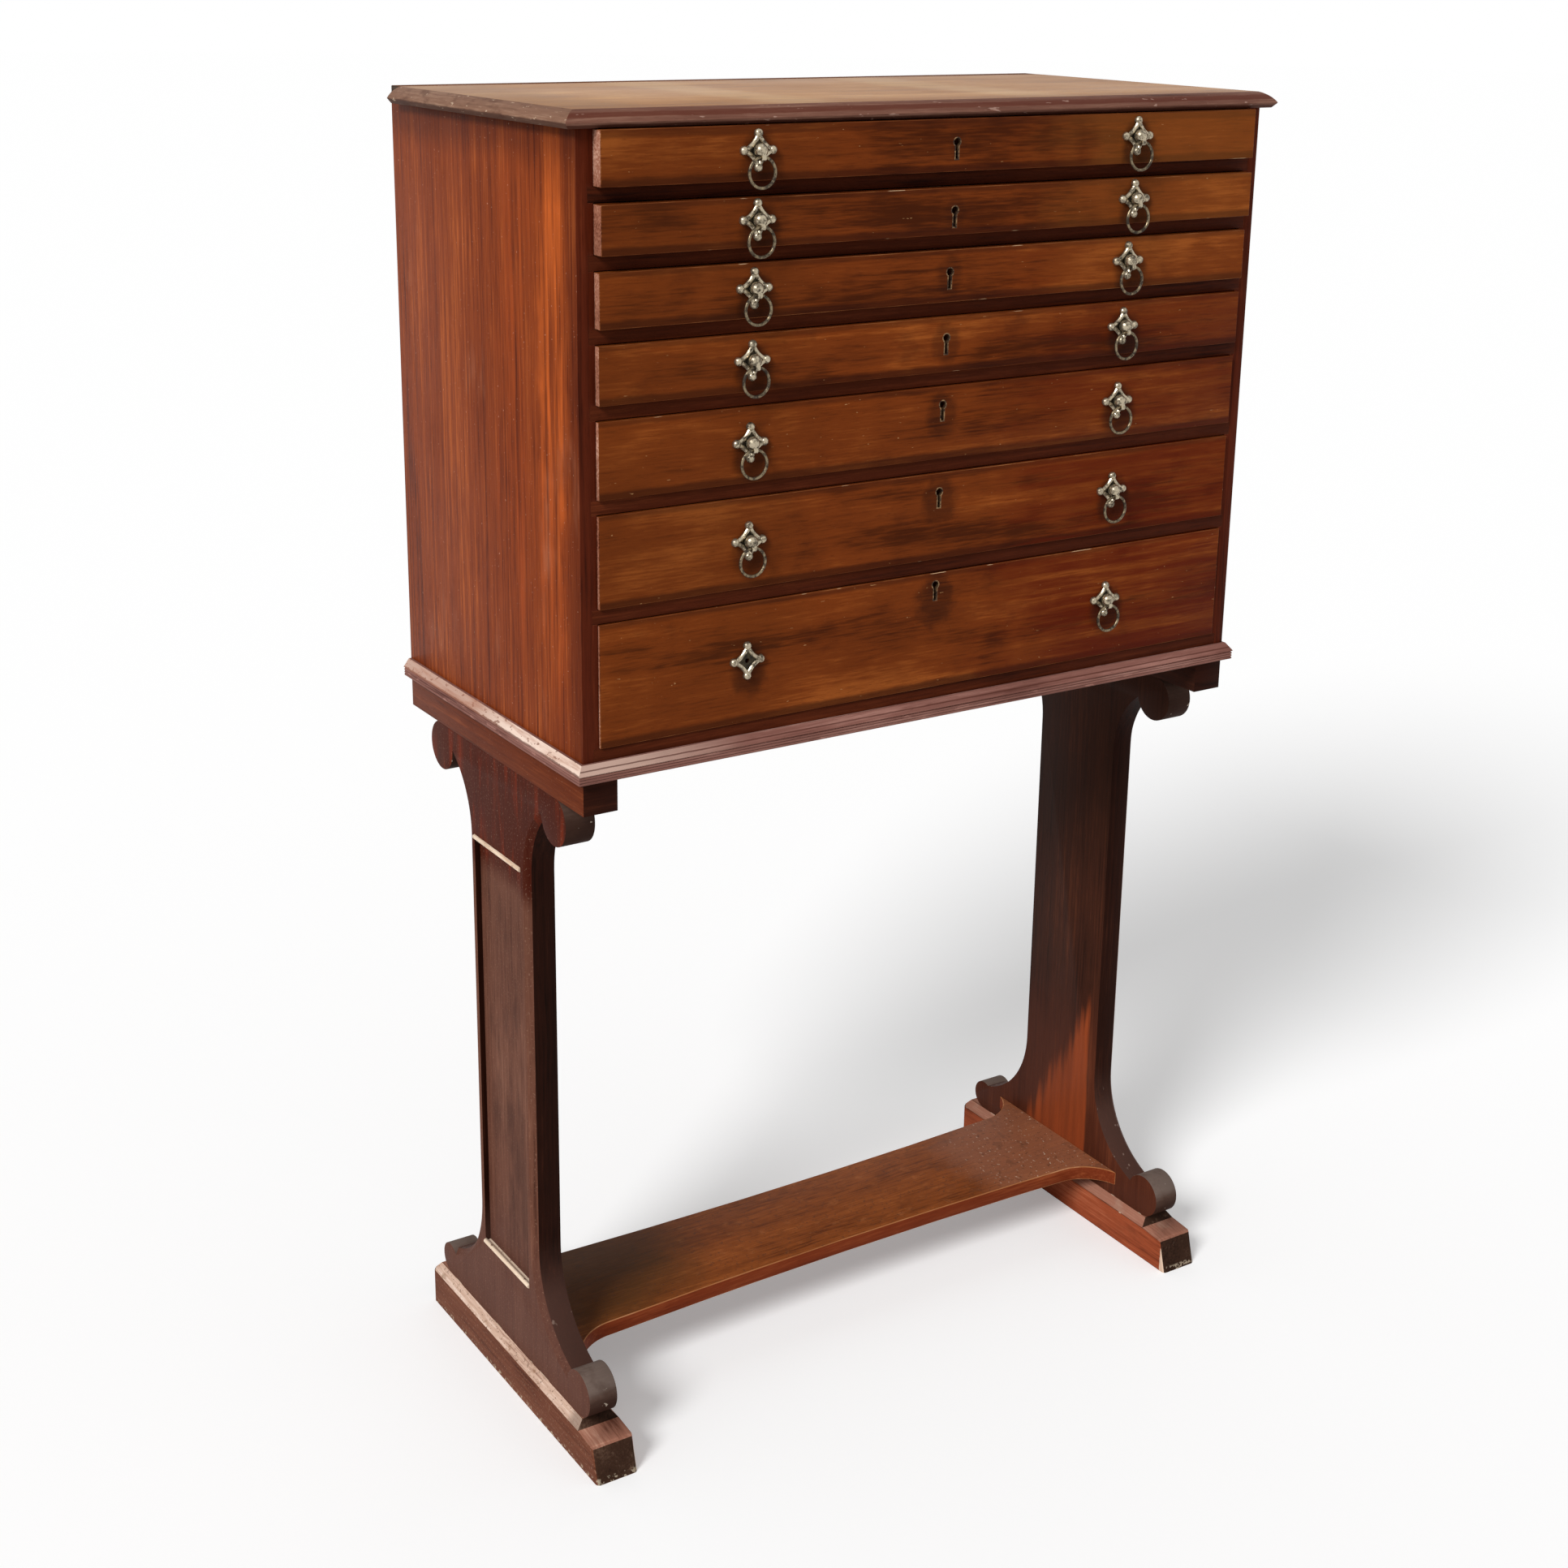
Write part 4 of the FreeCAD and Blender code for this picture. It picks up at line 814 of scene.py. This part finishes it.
def drawer_stains_and_shade(number, pulls):
    """What use has left on a drawer front, soot round the lock and darker edges, with painted
    shade: a painted shadow along the top edge, and under each pull a dark patch that is partly
    dirt and partly the painted shadow of its ring.
    """
    low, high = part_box(f"drawer_{number}_front")
    lock = (low[2] + high[2]) / 2
    bolt_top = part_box(f"drawer_{number}_lock_bolt")[1][2]
    key_height = bolt_top - KEY_DROP - KEY_DROP_STEP * number
    deep = min(1.0, 0.35 + 0.09 * number)
    handled = (0.010 + 0.0022 * number, None, 0.014 + 0.002 * number)
    right_end = patch((0.27, 0, lock), (0.24, None, 0.2), 1.0, 1.4, 14)
    redness = max(0.0, 0.15 * number - 0.27)
    paleness = max(0.0, 0.4 - 0.1 * number)
    top_shade = 0.005 if number == 1 else 0.0025
    stains_and_shade = [
        (SOOT, patch((0, 0, key_height), handled, 0.55 * deep, 1.2, 90)),
        ((44, 15, 8), strip("Z", low[2], low[2] + 0.004, 0.004, 0.7, 0.003, 40)),
        ((58, 22, 10), clouds(22, 0.56, 0.76, 0.4, (0.8, 1, 1.2))),
        # Painted shadow along the top edge, of the top board's overhang on the first drawer and of
        # the rail above on the others.
        ((60, 25, 12), strip("Z", high[2] - top_shade, high[2] + 0.01, 0.003, 0.5, 0.002, 30)),
        ((88, 22, 6), clouds(150, 0.32, 0.62, redness, (0.05, 1, 1), right_end)),
        ((150, 88, 36), patch((0.24, 0, lock), (0.16, None, 0.2), paleness, 1.6, 18)),
        ((80, 42, 16), patch((-0.27, 0, lock), (0.16, None, 0.2), 0.20, 0.8, 8)),
        ((196, 150, 100), specks(420, 0.735, 0.5, (0.3, 1, 1)))]
    for pull in pulls:
        # Under each pull a dark patch: partly dirt, partly the painted shadow of the hanging ring.
        under = (pull.x + 0.003, 0, pull.z - 0.010)
        stains_and_shade.append(((34, 15, 8), patch(under, (0.022, None, 0.028), 0.62, 1.0, 60)))
    return stains_and_shade


def dress_front(number, pulls):
    """The front of a drawer, each cut from another part of the board."""
    shift = (0.31 * number, 0.17 * number, 0.47 * number)
    wood = timber(f"drawer_front_{number}_mahogany", "X", FRONT_TONES, shift=shift, bands=0.2,
                  streaks=0.55, fleck=0.6, flow=0.85, uneven=0.3,
                  marks=drawer_stains_and_shade(number, pulls))
    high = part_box(f"drawer_{number}_front")[1]
    lining = timber(f"drawer_{number}_lining_wood", "Y", DRAWER_TONES, shift=shift, gloss=0.65,
                    marks=(
        ((96, 62, 36), clouds(12, 0.50, 0.74, 0.5, (1, 0.5, 1))),
        ((84, 52, 30), strip("Z", high[2] - 0.008, high[2], 0.006, 0.45, 0.006, 30)),
        ((74, 50, 34), specks(160, 0.70, 0.5, (1, 0.4, 1)))))
    # The ends are painted pale pink as a highlight.
    end = timber(f"drawer_{number}_end_mahogany", "X", LIT_DRAWER_END_TONES, shift=shift,
                 fleck=1.2, gloss=0.55)
    arris = timber(f"drawer_{number}_arris_mahogany", "X", DRAWER_ARRIS_TONES, shift=shift,
                   fleck=1.2, marks=(((214, 180, 140), specks(90, 0.66, 0.8, (0.25, 1, 1))),))

    def front_face(face):
        """The wood, and the end grain at its two ends."""
        across = points(face, "X") or points(face, "-X")
        return 1 if across and abs(face.calc_center_median().x) > FRONT_ENDS else 0

    dress(f"drawer_{number}_front", [wood, end], 0.7 * MM, edge=arris, shortest=3 * MM,
          sort=front_face)
    paint(f"drawer_{number}_box", lining)


def metal_sorter(front):
    """Sorts the faces of a drawer's fittings, where its front is at a given y."""
    field = front - PLATE_THICKNESS

    def sort(face):
        """Bright castings, the sunk field of a plate and the dark thread of a keyhole."""
        spot = face.calc_center_median()
        if abs(spot.x) < KEYHOLE_REACH:
            return 2
        return 1 if points(face, "-Y", 0.95) and abs(spot.y - field) < 0.1 * MM else 0
    return sort


def make_drawers():
    """Each drawer with its fittings, bolt and rings."""
    polished = brass("aged_brass", (184, 171, 147), (62, 53, 41), 0.25, (0.44, 0.63))
    looped = brass("ring_brass", (136, 121, 96), (48, 39, 30), 0.3, (0.40, 0.60))
    sunk = brass("sunk_brass", (66, 58, 43), (34, 28, 21), 0.45)
    keyhole = brass("keyhole_brass", (150, 118, 84), (50, 32, 22), 0.4, (0.38, 0.56))
    rims = pull_rims()
    for number in DRAWERS:
        pulls = pull_centres(number)
        dress_front(number, pulls)
        dress(f"drawer_{number}_fittings", [polished, sunk, keyhole], 0,
              sort=metal_sorter(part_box(f"drawer_{number}_front")[0][1]),
              extra=lambda shape: set_rims(shape, rims, pulls))
        paint(f"drawer_{number}_lock_bolt", polished)
        for name, _ in SIDES:
            if f"ring_{number}_{name}" in frame["nodes"]:
                dress(f"ring_{number}_{name}", [looped], 0)
    rims.free()


# Studio ------------------------------------------------------------------------------------

# The camera: where it stands, which way it looks, its tilt and roll, and its lens.
CAMERA_PLACE = Vector((-1167.4, -1736.0, 1312.5)) * MM
CAMERA_TURN = math.radians(-32.7)
CAMERA_DROP = math.radians(16.84)
CAMERA_ROLL = math.radians(0.78)
CAMERA_LENS = 52.72
CAMERA_SHIFT = -0.085
# The light: where the sun is and how strong, the sky's own strength, and the pale floor.
SUN_FROM = Vector((-0.72, -0.34, 0.60))
SUN_STRENGTH = 2.4
SUN_SPREAD = math.radians(20)
SKY_STRENGTH = 0.42
FLOOR_RADIUS = 30
FLOOR_PALENESS = 0.86
FLOOR_GLOW = 0.24


def make_camera():
    """The camera, looking down a little and over to its right."""
    camera = bpy.data.cameras.new("camera")
    camera.sensor_width = 36
    camera.lens = CAMERA_LENS
    camera.shift_y = CAMERA_SHIFT
    look = Vector((-math.sin(CAMERA_TURN) * math.cos(CAMERA_DROP),
                   math.cos(CAMERA_TURN) * math.cos(CAMERA_DROP), -math.sin(CAMERA_DROP)))
    right = Vector((math.cos(CAMERA_TURN), math.sin(CAMERA_TURN), 0))
    up = right.cross(look)
    turn = Matrix((right, up, -look)).transposed().to_4x4()
    stand = bpy.data.objects.new("camera", camera)
    stand.matrix_world = (Matrix.Translation(CAMERA_PLACE) @ turn
                          @ Matrix.Rotation(CAMERA_ROLL, 4, "Z"))
    bpy.context.scene.collection.objects.link(stand)
    bpy.context.scene.camera = stand


def make_sun():
    """One soft light from the left, the front and above."""
    lamp = bpy.data.lights.new("key_light", "SUN")
    lamp.angle = SUN_SPREAD
    lamp.energy = SUN_STRENGTH
    stand = bpy.data.objects.new("key_light", lamp)
    stand.rotation_euler = SUN_FROM.to_track_quat("Z", "Y").to_euler()
    bpy.context.scene.collection.objects.link(stand)


def seen_directly(finish):
    """1 for rays from the camera, in mirrors and through glass, 0 for the light of the room."""
    rays = finish.add("ShaderNodeLightPath")
    outputs = rays.socket.node.outputs
    total = Wire(finish, outputs["Is Camera Ray"]) + Wire(finish, outputs["Is Glossy Ray"])
    return (total + Wire(finish, outputs["Is Transmission Ray"])).clamped()


def make_floor():
    """A wide pale floor, a little brighter to the eye than the light makes it."""
    shape = bmesh.new()
    bmesh.ops.create_circle(shape, cap_ends=True, segments=96, radius=FLOOR_RADIUS)
    mesh = bpy.data.meshes.new("studio_floor")
    shape.to_mesh(mesh)
    shape.free()
    finish = Finish("studio_floor")
    pale = (FLOOR_PALENESS, FLOOR_PALENESS, FLOOR_PALENESS, 1)
    finish.set(Base_Color=pale, Roughness=0.9, Specular_IOR_Level=0.0, Emission_Strength=1.0)
    glow = finish.mix(seen_directly(finish), (0, 0, 0, 1), (FLOOR_GLOW, FLOOR_GLOW, FLOOR_GLOW, 1))
    finish.set(Emission_Color=glow)
    mesh.materials.append(finish.material)
    floor = bpy.data.objects.new("studio_floor", mesh)
    bpy.context.scene.collection.objects.link(floor)


def make_sky():
    """White to the eye, and softer as the light of the room."""
    world = bpy.data.worlds.new("studio")
    bpy.context.scene.world = world
    world.use_nodes = True
    tree = world.node_tree
    tree.nodes.clear()
    output = tree.nodes.new("ShaderNodeOutputWorld")
    rays = tree.nodes.new("ShaderNodeLightPath")
    skies = []
    for strength in (SKY_STRENGTH, 1.0):
        sky = tree.nodes.new("ShaderNodeBackground")
        sky.inputs["Color"].default_value = (1, 1, 1, 1)
        sky.inputs["Strength"].default_value = strength
        skies.append(sky)
    mixed = skies[0]
    for kind in ("Is Camera Ray", "Is Glossy Ray", "Is Transmission Ray"):
        mix = tree.nodes.new("ShaderNodeMixShader")
        tree.links.new(rays.outputs[kind], mix.inputs[0])
        tree.links.new(mixed.outputs[0], mix.inputs[1])
        tree.links.new(skies[1].outputs[0], mix.inputs[2])
        mixed = mix
    tree.links.new(mixed.outputs[0], output.inputs[0])


make_camera()
make_case()
make_base_moulding()
make_stand()
make_drawers()
make_sun()
make_floor()
make_sky()
bpy.context.scene.view_settings.view_transform = "Standard"
